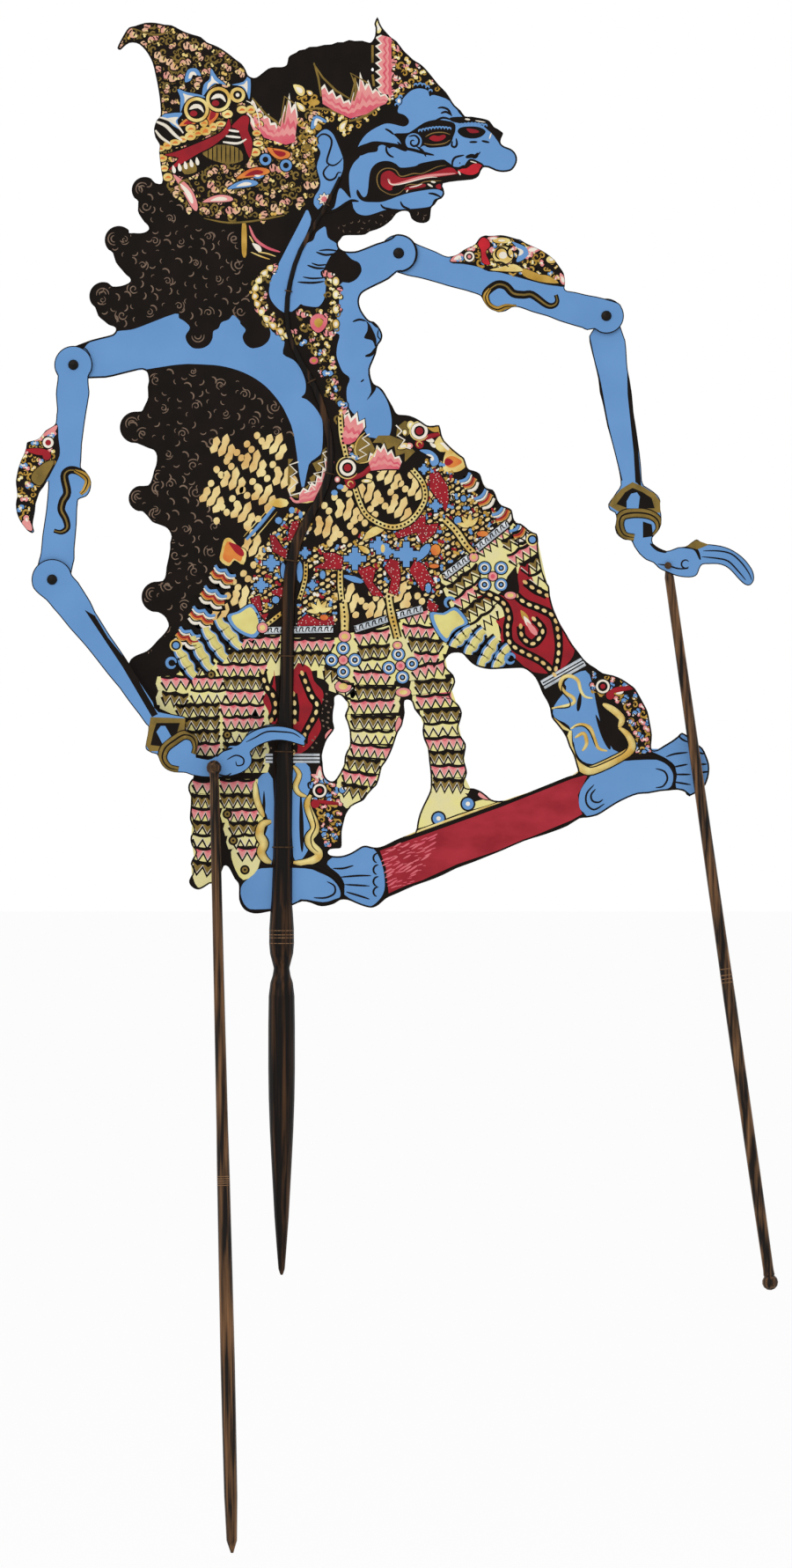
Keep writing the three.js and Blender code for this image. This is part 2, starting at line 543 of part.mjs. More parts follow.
const rightForearmOutline = [
  ...arc(rightElbow, jointRadius - 1, -36, 225, 14),
  ...from(rightElbow, [
    [-11.7, -13.7], [-10.5, -21.7], [-8.5, -29.7], [-5.5, -42.7], [-4.5, -51.7], [-2, -61.7], [0.5, -74.7],
  ]),
  ...from(rightTie, [
    [-38, 85], [-35.5, 75], [-33, 64], [-32, 55], [-37, 47], [-40.5, 42], [-39.5, 38], [-36, 36],
    [-35, 32], [-36, 26], [-35, 22], [-32, 19], [-29, 17.5], [-25, 17], [-23, 13], [-19.5, 8], [-15, 4],
    [-10, 2], [-7, -1], [-4, -3], [3, -6], [7, -7.3], [12, -8], [17, -7.8], [20, -6], [21.5, -2],
    [23.5, 0.7], [28, 1], [34, 1], [39, -0.5], [43, -3.5], [47, -8], [51, -12], [54, -13.5],
    [56.5, -13], [58.5, -10], [58.5, -6], [57, -2], [53, 3.5], [48, 8], [42, 11.5], [36, 13.5],
    [29, 14.5], [24, 15], [20.5, 17.5], [18.5, 17.5], [15, 15], [12, 13], [7, 12.5], [3, 11], [-1, 10],
    [-6, 12], [-10, 15], [-10.5, 19], [-7, 23], [-4.5, 28], [-4.5, 35], [-5.5, 41], [-5, 44], [-7, 48],
    [-12, 52], [-16, 54.5], [-17.5, 58], [-18, 67], [-19, 77],
  ]),
  ...from(rightElbow, [
    [20.5, -78.7], [18.5, -65.7], [17.5, -53.7], [16, -43.7], [14.5, -35.7], [13.8, -25.7], [13, -16.7],
  ]),
];
const rightForearmMiddle = rightUpperMiddle + rightUpperBow + layer;
const rightHandMiddle = rightForearmMiddle + rightForearmBow;
const rightForearm = bow(
  sheet(rightForearmOutline, [], rightForearmMiddle), rightElbow, rightTie, deepBowStart, rightForearmBow,
);
add('right_forearm', drill(rightForearm, [[rightElbow, pinHoleRadius], [rightTie, tieHoleRadius]]), armPaint);

// Rivets: a domed head in front, its pin through both sheets, and a button behind
function lathe(profile, segments) {
  return new THREE.LatheGeometry(profile.map(([r, y]) => new THREE.Vector2(r, y)), segments);
}

function addRivet(name, pivot, frontMiddle, backMiddle) {
  const headBase = frontMiddle - hideThickness / 2 - seatGap;
  const buttonBase = backMiddle + hideThickness / 2 + seatGap;
  const pinEnd = buttonBase + buttonThickness + seatGap;
  const dome = [];
  const domeSteps = 3;
  for (let i = 0; i <= domeSteps; i += 1) {
    const angle = (Math.PI / 2) * (i / domeSteps);
    dome.push([rivetHeadRadius * Math.sin(angle), headBase - rivetHeadHeight * Math.cos(angle)]);
  }
  const pin = lathe([...dome, [pinRadius, headBase], [pinRadius, pinEnd], [0, pinEnd]], roundSegments);
  const bore = pinRadius + seatGap;
  const rim = buttonRadius + bore;
  const top = buttonBase + buttonThickness;
  const button = lathe([
    [bore, buttonBase], [rim, buttonBase], [rim, top - buttonEdge], [rim - buttonEdge, top], [bore, top],
    [bore, buttonBase],
  ], roundSegments);
  for (const [suffix, geometry] of [['rivet', pin], ['rivet_button', button]]) {
    add(`${name}_${suffix}`, closed(geometry), rivetHorn).position.set(pivot[0], 0, pivot[1]);
  }
}
addRivet('left_shoulder', leftShoulder, leftUpperMiddle, 0);
addRivet('left_elbow', leftElbow, leftForearmMiddle, leftUpperMiddle + leftUpperBow);
addRivet('right_shoulder', rightShoulder, 0, rightUpperMiddle);
addRivet('right_elbow', rightElbow, rightUpperMiddle + rightUpperBow, rightForearmMiddle);

// Main rod: one piece of horn, turned below and split above into a front and a rear limb
function limb(side) {
  const positions = [];
  const index = [];
  const ring = limbSectionSteps + 1;
  for (let i = 0; i <= limbSteps; i += 1) {
    const { x, z, halfWidth, across, depth } = limbStation(i / limbSteps);
    for (let k = 0; k < ring; k += 1) {
      const angle = (Math.PI * k) / limbSectionSteps;
      const out = halfWidth * Math.cos(angle);
      positions.push(x + out * across.x, side * (slotHalf + depth * Math.sin(angle)), z + out * across.y);
    }
  }
  for (let i = 0; i < limbSteps; i += 1) {
    for (let k = 0; k < ring; k += 1) {
      const [a, b] = [i * ring + k, i * ring + ((k + 1) % ring)];
      index.push(a, b, a + ring, b, b + ring, a + ring);
    }
  }
  const last = limbSteps * ring;
  for (let k = 1; k + 1 < ring; k += 1) {
    index.push(0, k + 1, k, last, last + k, last + k + 1);
  }
  const geometry = new THREE.BufferGeometry();
  geometry.setAttribute('position', new THREE.Float32BufferAttribute(positions, 3));
  geometry.setIndex(index);
  return geometry;
}

const handleTop = handleProfile[handleProfile.length - 1][0];
const handleGrip = Math.max(...handleProfile.map(([, radius]) => radius));
const hideFoot = Math.min(...bodyOutline.filter(([x]) => Math.abs(x) < handleGrip).map(([, z]) => z));
const slotFloor = hideFoot - slotFloorGap;
const handle = lathe(
  [[0, 0], ...handleProfile.map(([height, radius]) => [radius, height]), [0, handleTop]], handleSegments,
);
handle.rotateX(Math.PI / 2);
const slotHeight = handleTop - slotFloor + 1;
const slot = new THREE.BoxGeometry(2 * handleGrip + 2, 2 * slotHalf, slotHeight);
slot.translate(0, 0, slotFloor + slotHeight / 2);
const mainRod = toSolid(handle).subtract(toSolid(slot)).add(toSolid(limb(-1))).add(toSolid(limb(1)));
add('main_rod', fromSolid(mainRod), horn);

// Thread stitches: closed loops of thread across the limbs, flattened to follow them
function stitchLoop({ x, z, across, reach, rise }) {
  const around = 14;
  const sides = 4;
  const squareness = 2.6;
  const bend = (value) => Math.sign(value) * Math.abs(value) ** (2 / squareness);
  const spots = [];
  for (let i = 0; i < around; i += 1) {
    const angle = (2 * Math.PI * i) / around;
    spots.push(new THREE.Vector2(reach * bend(Math.cos(angle)), rise * bend(Math.sin(angle))));
  }
  const positions = [];
  const index = [];
  for (let i = 0; i < around; i += 1) {
    const heading = spots[(i + 1) % around].clone().sub(spots[(i + around - 1) % around]).normalize();
    for (let k = 0; k < sides; k += 1) {
      const turn = (2 * Math.PI * k) / sides;
      const out = spots[i].x + stitchRadius * Math.cos(turn) * heading.y;
      const forward = spots[i].y - stitchRadius * Math.cos(turn) * heading.x;
      const up = stitchRadius * Math.sin(turn);
      positions.push(x + out * across.x - up * across.y, forward, z + out * across.y + up * across.x);
      const [a, b] = [i * sides + k, i * sides + ((k + 1) % sides)];
      const [c, d] = [((i + 1) % around) * sides + k, ((i + 1) % around) * sides + ((k + 1) % sides)];
      index.push(a, b, c, b, d, c);
    }
  }
  const geometry = new THREE.BufferGeometry();
  geometry.setAttribute('position', new THREE.Float32BufferAttribute(positions, 3));
  geometry.setIndex(index);
  return geometry;
}
stitches.forEach((stitch, i) => add(`stitch_${i + 1}`, closed(stitchLoop(stitch)), thread));

// Arm rods: turned horn with a round head, drilled across for the cord tie
function ball(centre, radius, startDeg, endDeg) {
  return arc([0, centre], radius, startDeg, endDeg, ballSteps).map(([r, y]) => [Math.max(r, 0), y]);
}

function addArmRod(name, headRadius, profile, foot, tie, middle, tilt) {
  const head = ball(0, headRadius, 90, -ballNeckAngle);
  const shaft = profile.map(([below, radius]) => [radius, -below]);
  const rod = lathe([...head, ...shaft, ...foot], rodSegments);
  rod.rotateX(Math.PI / 2);
  const eye = new THREE.CylinderGeometry(tieHoleRadius, tieHoleRadius, 4 * headRadius, roundSegments);
  const solid = toSolid(rod).subtract(toSolid(eye));
  const mesh = add(name, fromSolid(solid), horn);
  mesh.position.set(tie[0], middle, tie[1]);
  mesh.rotation.y = -THREE.MathUtils.degToRad(tilt);
}
const leftRodMiddle = leftHandMiddle - hideThickness / 2 - seatGap - leftKnobRadius;
const leftRodLength = leftRodProfile[leftRodProfile.length - 1][0];
addArmRod(
  'left_arm_rod', leftKnobRadius, leftRodProfile, [[0, -leftRodLength]], leftTie, leftRodMiddle, leftRodTilt,
);
const rightRodMiddle = rightHandMiddle + hideThickness / 2 + seatGap + rightHeadRadius;
addArmRod(
  'right_arm_rod', rightHeadRadius, rightRodProfile,
  ball(-rightRodLength, rightEndKnobRadius, ballNeckAngle, -90), rightTie, rightRodMiddle, rightRodTilt,
);

// Cord ties: the cord through the hand and the rod's eye, knotted in front and behind
function addTie(name, spot, front, back) {
  const knotSteps = 4;
  const knot = (base, side, first, last) => {
    const points = [];
    for (let i = 0; i <= knotSteps; i += 1) {
      const angle = Math.PI * (first + ((last - first) * i) / knotSteps);
      const radius = Math.max(tieKnotRadius * Math.sin(angle), 0);
      points.push([radius, base + side * (tieKnotThickness / 2) * (1 + Math.cos(angle))]);
    }
    return points;
  };
  const neck = 1 - Math.asin(tieCordRadius / tieKnotRadius) / Math.PI;
  const geometry = lathe([
    ...knot(front - seatGap, -1, 0, neck), ...knot(back + seatGap, 1, neck, 0),
  ], roundSegments);
  add(name, closed(geometry), cord).position.set(spot[0], 0, spot[1]);
}
addTie('left_hand_tie', leftTie, leftRodMiddle - leftKnobRadius, leftHandMiddle + hideThickness / 2);
addTie('right_hand_tie', rightTie, rightHandMiddle - hideThickness / 2, rightRodMiddle + rightHeadRadius);

export default assembly;
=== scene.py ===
import json
import math

import bmesh
import bpy
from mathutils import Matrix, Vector
from mathutils.bvhtree import BVHTree
from mathutils.geometry import tessellate_polygon


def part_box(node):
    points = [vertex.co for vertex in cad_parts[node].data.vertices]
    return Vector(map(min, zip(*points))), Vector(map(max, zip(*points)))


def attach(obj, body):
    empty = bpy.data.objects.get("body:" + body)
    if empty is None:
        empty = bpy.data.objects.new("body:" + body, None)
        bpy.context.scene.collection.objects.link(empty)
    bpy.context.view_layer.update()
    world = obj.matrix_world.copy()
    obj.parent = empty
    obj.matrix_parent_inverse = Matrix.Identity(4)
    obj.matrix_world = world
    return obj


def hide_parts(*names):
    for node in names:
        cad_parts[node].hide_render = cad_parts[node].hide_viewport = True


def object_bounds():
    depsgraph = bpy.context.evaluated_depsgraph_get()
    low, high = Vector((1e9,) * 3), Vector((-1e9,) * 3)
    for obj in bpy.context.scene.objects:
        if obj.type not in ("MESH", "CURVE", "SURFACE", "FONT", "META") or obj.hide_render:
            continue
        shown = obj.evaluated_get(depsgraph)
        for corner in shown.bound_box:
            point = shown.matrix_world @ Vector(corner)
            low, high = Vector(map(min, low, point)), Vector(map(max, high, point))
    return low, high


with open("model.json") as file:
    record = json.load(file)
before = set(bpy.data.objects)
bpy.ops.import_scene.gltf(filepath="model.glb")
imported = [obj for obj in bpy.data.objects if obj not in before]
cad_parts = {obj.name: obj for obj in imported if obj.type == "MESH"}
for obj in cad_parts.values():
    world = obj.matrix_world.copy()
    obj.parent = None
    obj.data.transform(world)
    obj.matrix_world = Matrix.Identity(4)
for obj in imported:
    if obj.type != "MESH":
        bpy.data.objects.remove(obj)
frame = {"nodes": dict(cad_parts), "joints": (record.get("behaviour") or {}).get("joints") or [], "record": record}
cad_low, cad_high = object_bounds()
MM = 0.001


# The studio. A pale floor a little below the longest arm rod, a white world and one large soft lamp,
# with the camera square to the front of the puppet, as a flat figure is shown.
PHOTO_CENTRE = (78 * MM, 334.5 * MM)
PHOTO_HEIGHT = 1068.6 * MM
LENS = 200
SENSOR = 36
FLOOR_GAP = 4 * MM
FLOOR_SIZE = 60
FLOOR_WHITE = 0.9
FLOOR_ROUGH = 0.9
WORLD_LIGHT = 0.78
LAMP_WATTS = 22
LAMP_SIZE = 2.2
LAMP_PLACE = (-1.3, -2.6, 2.1)
LAMP_TARGET = Vector((0.05, 0, 0.5))


def white_to_the_eye(tree, lit, out, share=1.0):
    """Shows white to camera, mirror and glass rays by a share, and the lit surface to all others."""
    rays = tree.nodes.new("ShaderNodeLightPath")
    eye = tree.nodes.new("ShaderNodeMath")
    eye.operation = "MAXIMUM"
    tree.links.new(rays.outputs["Is Camera Ray"], eye.inputs[0])
    shine = tree.nodes.new("ShaderNodeMath")
    shine.operation = "MAXIMUM"
    tree.links.new(rays.outputs["Is Glossy Ray"], shine.inputs[0])
    tree.links.new(rays.outputs["Is Transmission Ray"], shine.inputs[1])
    tree.links.new(shine.outputs[0], eye.inputs[1])
    part = tree.nodes.new("ShaderNodeMath")
    part.operation = "MULTIPLY"
    part.inputs[1].default_value = share
    tree.links.new(eye.outputs[0], part.inputs[0])
    mix = tree.nodes.new("ShaderNodeMixShader")
    glow = tree.nodes.new("ShaderNodeBackground" if out.type == "OUTPUT_WORLD" else "ShaderNodeEmission")
    glow.inputs["Color"].default_value = (1, 1, 1, 1)
    glow.inputs["Strength"].default_value = 1
    tree.links.new(part.outputs[0], mix.inputs[0])
    tree.links.new(lit, mix.inputs[1])
    tree.links.new(glow.outputs[0], mix.inputs[2])
    tree.links.new(mix.outputs[0], out.inputs["Surface"])


world = bpy.data.worlds.new("studio_white")
bpy.context.scene.world = world
world.use_nodes = True
sky = world.node_tree.nodes["Background"]
sky.inputs["Color"].default_value = (1, 1, 1, 1)
sky.inputs["Strength"].default_value = WORLD_LIGHT
white_to_the_eye(world.node_tree, sky.outputs[0], world.node_tree.nodes["World Output"])

lamp = bpy.data.objects.new("soft_lamp", bpy.data.lights.new("soft_lamp", "AREA"))
lamp.data.size = LAMP_SIZE
lamp.data.energy = LAMP_WATTS
lamp.location = LAMP_PLACE
lamp.rotation_euler = (LAMP_TARGET - lamp.location).to_track_quat("-Z", "Y").to_euler()
bpy.context.collection.objects.link(lamp)

bpy.ops.mesh.primitive_plane_add(size=FLOOR_SIZE, location=(0, 0, cad_low.z - FLOOR_GAP))
floor = bpy.context.object
floor.name = "studio_floor"
floor_finish = bpy.data.materials.new("studio_floor")
floor_finish.use_nodes = True
floor_nodes = floor_finish.node_tree.nodes
floor_paint = floor_nodes["Principled BSDF"]
floor_paint.inputs["Base Color"].default_value = (FLOOR_WHITE, FLOOR_WHITE, FLOOR_WHITE, 1)
floor_paint.inputs["Roughness"].default_value = FLOOR_ROUGH
white_to_the_eye(floor_finish.node_tree, floor_paint.outputs[0], floor_nodes["Material Output"], FLOOR_WHITE)
floor.data.materials.append(floor_finish)

camera = bpy.data.objects.new("camera", bpy.data.cameras.new("camera"))
camera.data.lens = LENS
camera.data.sensor_width = SENSOR
camera.location = (PHOTO_CENTRE[0], -PHOTO_HEIGHT * LENS / SENSOR, PHOTO_CENTRE[1])
camera.rotation_euler = (math.radians(90), 0, 0)
camera.data.clip_end = 100
bpy.context.collection.objects.link(camera)
bpy.context.scene.camera = camera
bpy.context.scene.view_settings.view_transform = "Standard"


# The hide sheets. Each is scraped buffalo hide, cut to its outline, sized and painted dark on both faces
# before the colours go on. The arm sheets are bowed a little, so that they pass each other and the rods.
HIDE = 1.6 * MM
EDGE_ROUND = 0.25 * MM
SMALLEST_OPENING = 2.2 * MM
PAINT_MARGIN = 0.3 * MM
COAT_STEP = 0.0018 * MM
COAT_STEPS = 7
MANY_POINTS = 60
FRONT_SLOPE = 0.8
BOW_START = {"right_forearm": 30 * MM}
BOW_START_USUAL = 15 * MM
BOW_STEP = 5 * MM
JOINT_RADIUS = 13 * MM
PIVOTS = {j["name"]: Vector(j["pos_m"]) for j in frame["joints"]}
ARM_ENDS = {
    "left_upper_arm": ("left_shoulder", "left_elbow"),
    "left_forearm": ("left_elbow", "left_rod_swing"),
    "right_upper_arm": ("right_shoulder", "right_elbow"),
    "right_forearm": ("right_elbow", "right_rod_swing"),
}
BODY_OF = {node: body for body, nodes in frame["record"]["behaviour"]["bodies"].items() for node in nodes}
TONE_BLEND = 0.14
GRAIN_SCALE = 900
GRAIN_HEIGHT = 0.2 * MM
GLOSS_SPREAD = 0.1


def srgb(text):
    """A colour written as RRGGBB, in the renderer's linear values."""
    parts = [int(text[i:i + 2], 16) / 255 for i in (0, 2, 4)]
    return [c / 12.92 if c <= 0.04045 else ((c + 0.055) / 1.055) ** 2.4 for c in parts] + [1]


def mottled(name, main, other, scale, rough=0.55, bump=0.25, share=0.5, metal=0.0, stretch=(1, 1, 1),
    shine=0.2):
    """A brushed or worn finish: two tones in soft patches, with a fine grain in height and roughness."""
    finish = bpy.data.materials.new(name)
    finish.use_nodes = True
    nodes, links = finish.node_tree.nodes, finish.node_tree.links
    surface = nodes["Principled BSDF"]
    surface.inputs["Metallic"].default_value = metal
    surface.inputs["Specular IOR Level"].default_value = shine
    place = nodes.new("ShaderNodeTexCoord")
    turn = nodes.new("ShaderNodeMapping")
    turn.inputs["Scale"].default_value = stretch
    links.new(place.outputs["Object"], turn.inputs["Vector"])
    patches = nodes.new("ShaderNodeTexNoise")
    patches.inputs["Scale"].default_value = scale
    patches.inputs["Detail"].default_value = 5
    links.new(turn.outputs[0], patches.inputs["Vector"])
    tones = nodes.new("ShaderNodeValToRGB")
    for stop, tone, side in zip(tones.color_ramp.elements, (main, other), (-1, 1)):
        stop.position = share + side * TONE_BLEND
        stop.color = srgb(tone)
    links.new(patches.outputs[0], tones.inputs[0])
    links.new(tones.outputs[0], surface.inputs["Base Color"])
    grain = nodes.new("ShaderNodeTexNoise")
    grain.inputs["Scale"].default_value = GRAIN_SCALE
    grain.inputs["Detail"].default_value = 3
    links.new(turn.outputs[0], grain.inputs["Vector"])
    sheen = nodes.new("ShaderNodeMapRange")
    sheen.inputs["To Min"].default_value = rough - GLOSS_SPREAD
    sheen.inputs["To Max"].default_value = rough + GLOSS_SPREAD
    links.new(grain.outputs[0], sheen.inputs["Value"])
    links.new(sheen.outputs[0], surface.inputs["Roughness"])
    relief = nodes.new("ShaderNodeBump")
    relief.inputs["Strength"].default_value = bump
    relief.inputs["Distance"].default_value = GRAIN_HEIGHT
    links.new(grain.outputs[0], relief.inputs["Height"])
    links.new(relief.outputs[0], surface.inputs["Normal"])
    return finish


INK = mottled("lamp_black_paint", "15100d", "1b1411", 60, rough=0.65, shine=0.08)


def smooth(points, closed=True, steps=3):
    """A rounded line through given points, each span cut in even steps."""
    count = len(points)
    out = []
    spans = count if closed else count - 1
    for i in range(spans):
        if closed:
            a, b, c, d = (points[(i + k) % count] for k in (-1, 0, 1, 2))
        else:
            a, b, c, d = (points[min(max(i + k, 0), count - 1)] for k in (-1, 0, 1, 2))
        for step in range(steps):
            t = step / steps
            out.append(tuple(
                0.5 * (2 * b[n] + (c[n] - a[n]) * t + (2 * a[n] - 5 * b[n] + 4 * c[n] - d[n]) * t * t
                       + (3 * b[n] - a[n] - 3 * c[n] + d[n]) * t ** 3) for n in (0, 1)))
    if not closed:
        out.append(tuple(points[-1]))
    return out


def outline_loops(node):
    """The closed outlines of a sheet's front face, in metres, the outer one first."""
    mesh = bmesh.new()
    mesh.from_mesh(frame["nodes"][node].data)
    bmesh.ops.remove_doubles(mesh, verts=mesh.verts, dist=1e-6)
    front = dict.fromkeys(f for f in mesh.faces if f.normal.y < -FRONT_SLOPE)
    after = {}
    for face in front:
        for loop in face.loops:
            if not any(f in front for f in loop.edge.link_faces if f is not face):
                after[loop.vert] = loop.link_loop_next.vert
    loops = []
    while after:
        start, spot = next(iter(after.items()))
        del after[start]
        ring = [start]
        while spot is not start:
            ring.append(spot)
            spot = after.pop(spot)
        loops.append([(v.co.x, v.co.z) for v in ring])
    mesh.free()
    return sorted(loops, key=lambda ring: max(p[0] for p in ring) - min(p[0] for p in ring), reverse=True)


class Sheet:
    """One hide sheet: its outline, the depth of its middle, and the body that it belongs to."""

    def __init__(self, node):
        self.node = node
        self.body = BODY_OF[node]
        self.slot = "painted_hide" if node == "body_hide" else "painted_arm"
        self.rings = [smooth(ring, steps=2) for ring in outline_loops(node)
                      if max(p[1] for p in ring) - min(p[1] for p in ring) > SMALLEST_OPENING]
        kept_in = [
            inset(ring, PAINT_MARGIN if ring is self.rings[0] else -PAINT_MARGIN) for ring in self.rings]
        flat = [[Vector((x, z, 0)) for x, z in ring] for ring in kept_in]
        self.cover = BVHTree.FromPolygons(sum(flat, []), tessellate_polygon(flat))
        low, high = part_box(node)
        self.start = (low[1] + high[1]) / 2
        self.rise = 0
        if node in ARM_ENDS:
            near, far = (PIVOTS[name] for name in ARM_ENDS[node])
            way = Vector((far.x - near.x, far.z - near.z))
            self.near, self.along = Vector((near.x, near.z)), way.normalized()
            first = BOW_START.get(node, BOW_START_USUAL)
            self.span = (first, way.length - JOINT_RADIUS)
            depth = [v.co.y for v in frame["nodes"][node].data.vertices
                     if (Vector((v.co.x, v.co.z)) - self.near).dot(self.along) < first / 2]
            self.start = (min(depth) + max(depth)) / 2
            self.rise = low[1] + high[1] - 2 * self.start

    def middle(self, x, z):
        """The depth of the middle of the hide at a spot."""
        if not self.rise:
            return self.start
        reach = (Vector((x, z)) - self.near).dot(self.along)
        share = min(max((reach - self.span[0]) / (self.span[1] - self.span[0]), 0), 1)
        return self.start + self.rise * share * share * (3 - 2 * share)

    def split(self, mesh):
        """Cuts flat faces across the arm, so that they can bow."""
        if not self.rise:
            return
        count = int((self.span[1] - self.span[0]) / BOW_STEP)
        for i in range(count + 1):
            spot = self.near + self.along * (self.span[0] + (self.span[1] - self.span[0]) * i / count)
            bmesh.ops.bisect_plane(
                mesh, geom=[*mesh.verts, *mesh.edges, *mesh.faces], dist=1e-7,
                plane_co=(spot.x, spot.y, 0), plane_no=(self.along.x, self.along.y, 0))

    def keep_on(self, mesh):
        """Draws back whatever runs past the cut edge, and drops what that leaves without width."""
        moved = False
        for v in mesh.verts:
            spot, _, _, gap = self.cover.find_nearest((v.co.x, v.co.y, 0))
            if gap > 1e-6:
                v.co.x, v.co.y = spot.x, spot.y
                moved = True
        if moved:
            bmesh.ops.dissolve_degenerate(mesh, dist=2e-6, edges=mesh.edges)


def finish_piece(mesh, name, body, finishes):
    """Makes a named object of a mesh and lets it ride on its body."""
    data = bpy.data.meshes.new(name)
    mesh.to_mesh(data)
    mesh.free()
    for finish in finishes:
        data.materials.append(finish)
    piece = bpy.data.objects.new(name, data)
    bpy.context.collection.objects.link(piece)
    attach(piece, body)
    return piece


def prism(mesh, rings, top, index, low=0.0):
    """Adds a flat slab in drawing coordinates: closed, with its holes, from low up to top."""
    ends = [[[mesh.verts.new((x, z, height)) for x, z in ring] for ring in rings] for height in (low, top)]
    flat = [[Vector((x, z, 0)) for x, z in ring] for ring in rings]
    made, seen = [], set()
    under, over = [sum(end, []) for end in ends]
    for a, b, c in tessellate_polygon(flat):
        if len({a, b, c}) < 3 or frozenset((a, b, c)) in seen:
            continue
        seen.add(frozenset((a, b, c)))
        p, q, r = (over[k].co for k in (a, b, c))
        if (q - p).cross(r - p).z < 0:
            b, c = c, b
        made.append(mesh.faces.new((over[a], over[b], over[c])))
        made.append(mesh.faces.new((under[a], under[c], under[b])))
        for face in made[-2:]:
            face.material_index = index
    if len(flat[0]) > MANY_POINTS:
        edges = list(dict.fromkeys(edge for face in made for edge in face.edges))
        bmesh.ops.beautify_fill(mesh, faces=made, edges=edges)
    for ring_low, ring_high in zip(*ends):
        count = len(ring_low)
        for i in range(count):
            k = (i + 1) % count
            side = mesh.faces.new((ring_low[i], ring_low[k], ring_high[k], ring_high[i]))
            side.material_index = index


def stagger(mesh):
    """Lays the marks of one coat a hair higher or lower by turns, so that no two tops share a plane."""
    seen = set()
    number = 0
    for first in mesh.verts:
        if first in seen:
            continue
        number += 1
        seen.add(first)
        waiting = [first]
        while waiting:
            v = waiting.pop()
            if v.co.z > 0:
                v.co.z += (number % COAT_STEPS) * COAT_STEP
            for edge in v.link_edges:
                other = edge.other_vert(v)
                if other not in seen:
                    seen.add(other)
                    waiting.append(other)


def lay_piece(name, mesh, node, finishes):
    """Lays a drawing on both faces of a sheet and makes a piece of it."""
    sheet = SHEETS[node]
    sheet.keep_on(mesh)
    stagger(mesh)
    sheet.split(mesh)
    return finish_piece(lay_on(sheet, mesh), name, sheet.body, finishes)


def lay_on(sheet, mesh, both=True):
    """Moves a drawing onto the front of a sheet, and a mirrored copy onto its back."""
    back = mesh.copy() if both else None
    for copy, side in ((mesh, -1), (back, 1)):
        if copy is None:
            continue
        for v in copy.verts:
            x, z, lift = v.co
            v.co = (x, sheet.middle(x, z) + side * (HIDE / 2 + lift), z)
        if side > 0:
            bmesh.ops.reverse_faces(copy, faces=copy.faces)
    if back is not None:
        spare = bpy.data.meshes.new("spare")
        back.to_mesh(spare)
        back.free()
        mesh.from_mesh(spare)
        bpy.data.meshes.remove(spare)
    return mesh


def inset(ring, gap):
    """The same closed line, moved inwards, with its crowded corners left out."""
    out = []
    count = len(ring)
    turn = sum(ring[i - 1][0] * ring[i][1] - ring[i][0] * ring[i - 1][1] for i in range(count))
    side = gap if turn > 0 else -gap
    for i in range(count):
        (a, b), (c, d), (e, f) = ring[i - 1], ring[i], ring[(i + 1) % count]
        way = Vector((e - a, f - b)).normalized()
        spot = (c - way.y * side, d + way.x * side)
        if not out or math.dist(spot, out[-1]) > abs(gap) / 2:
            out.append(spot)
    return out


SHORT_NAMES = {"body_hide": "figure", **{node: node.replace("_arm", "") for node in ARM_ENDS}}
SHEETS = {node: Sheet(node) for node in SHORT_NAMES}
for node, sheet in SHEETS.items():
    slab = bmesh.new()
    prism(slab, sheet.rings, 0.0, 0, low=-HIDE)
    bmesh.ops.recalc_face_normals(slab, faces=slab.faces)
    sheet.split(slab)
    laid = lay_on(sheet, slab, both=False)
    piece = finish_piece(laid, SHORT_NAMES[node] + "_hide", sheet.body, [INK])
    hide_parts(node)
    rounding = piece.modifiers.new("cut_edge", "BEVEL")
    rounding.width = EDGE_ROUND
    rounding.segments = 2
    rounding.limit_method = "ANGLE"
    rounding.angle_limit = math.radians(60)


# The blue skin. Flat coats of blue are laid on the chest, neck, ear and face, and over the arm sheets with
# their hands, with a thin dark line of bare ground left along every edge.
SINK = 0.05 * MM
EDGE_LINE = 0.7
BLUE = mottled("pale_blue_paint", "6b9bd1", "6494ca", 22, rough=0.5, bump=0.08)


def paint(name, coats, node="body_hide", sharp=False):
    """Lays closed shapes, in millimetres on the sheet, as coats of (finish, lift, shapes) on both faces."""
    mesh = bmesh.new()
    finishes = []
    for finish, lift, shapes in coats:
        if finish not in finishes:
            finishes.append(finish)
        for shape in shapes:
            ring = [(x * MM, z * MM) for x, z in shape]
            ring = ring if sharp else smooth(ring)
            prism(mesh, [ring], lift * MM, finishes.index(finish), low=-SINK)
    return lay_piece(name, mesh, node, finishes)


def arc(centre, radius, start, end, steps=12):
    """Points of an arc, angles in degrees from the right towards the top."""
    return [(centre[0] + radius * math.cos(math.radians(start + (end - start) * i / steps)),
             centre[1] + radius * math.sin(math.radians(start + (end - start) * i / steps)))
            for i in range(steps + 1)]


def path(*values):
    """Hand-picked points of a line or an outline, in millimetres, given as x and z by turns."""
    return list(zip(values[::2], values[1::2]))


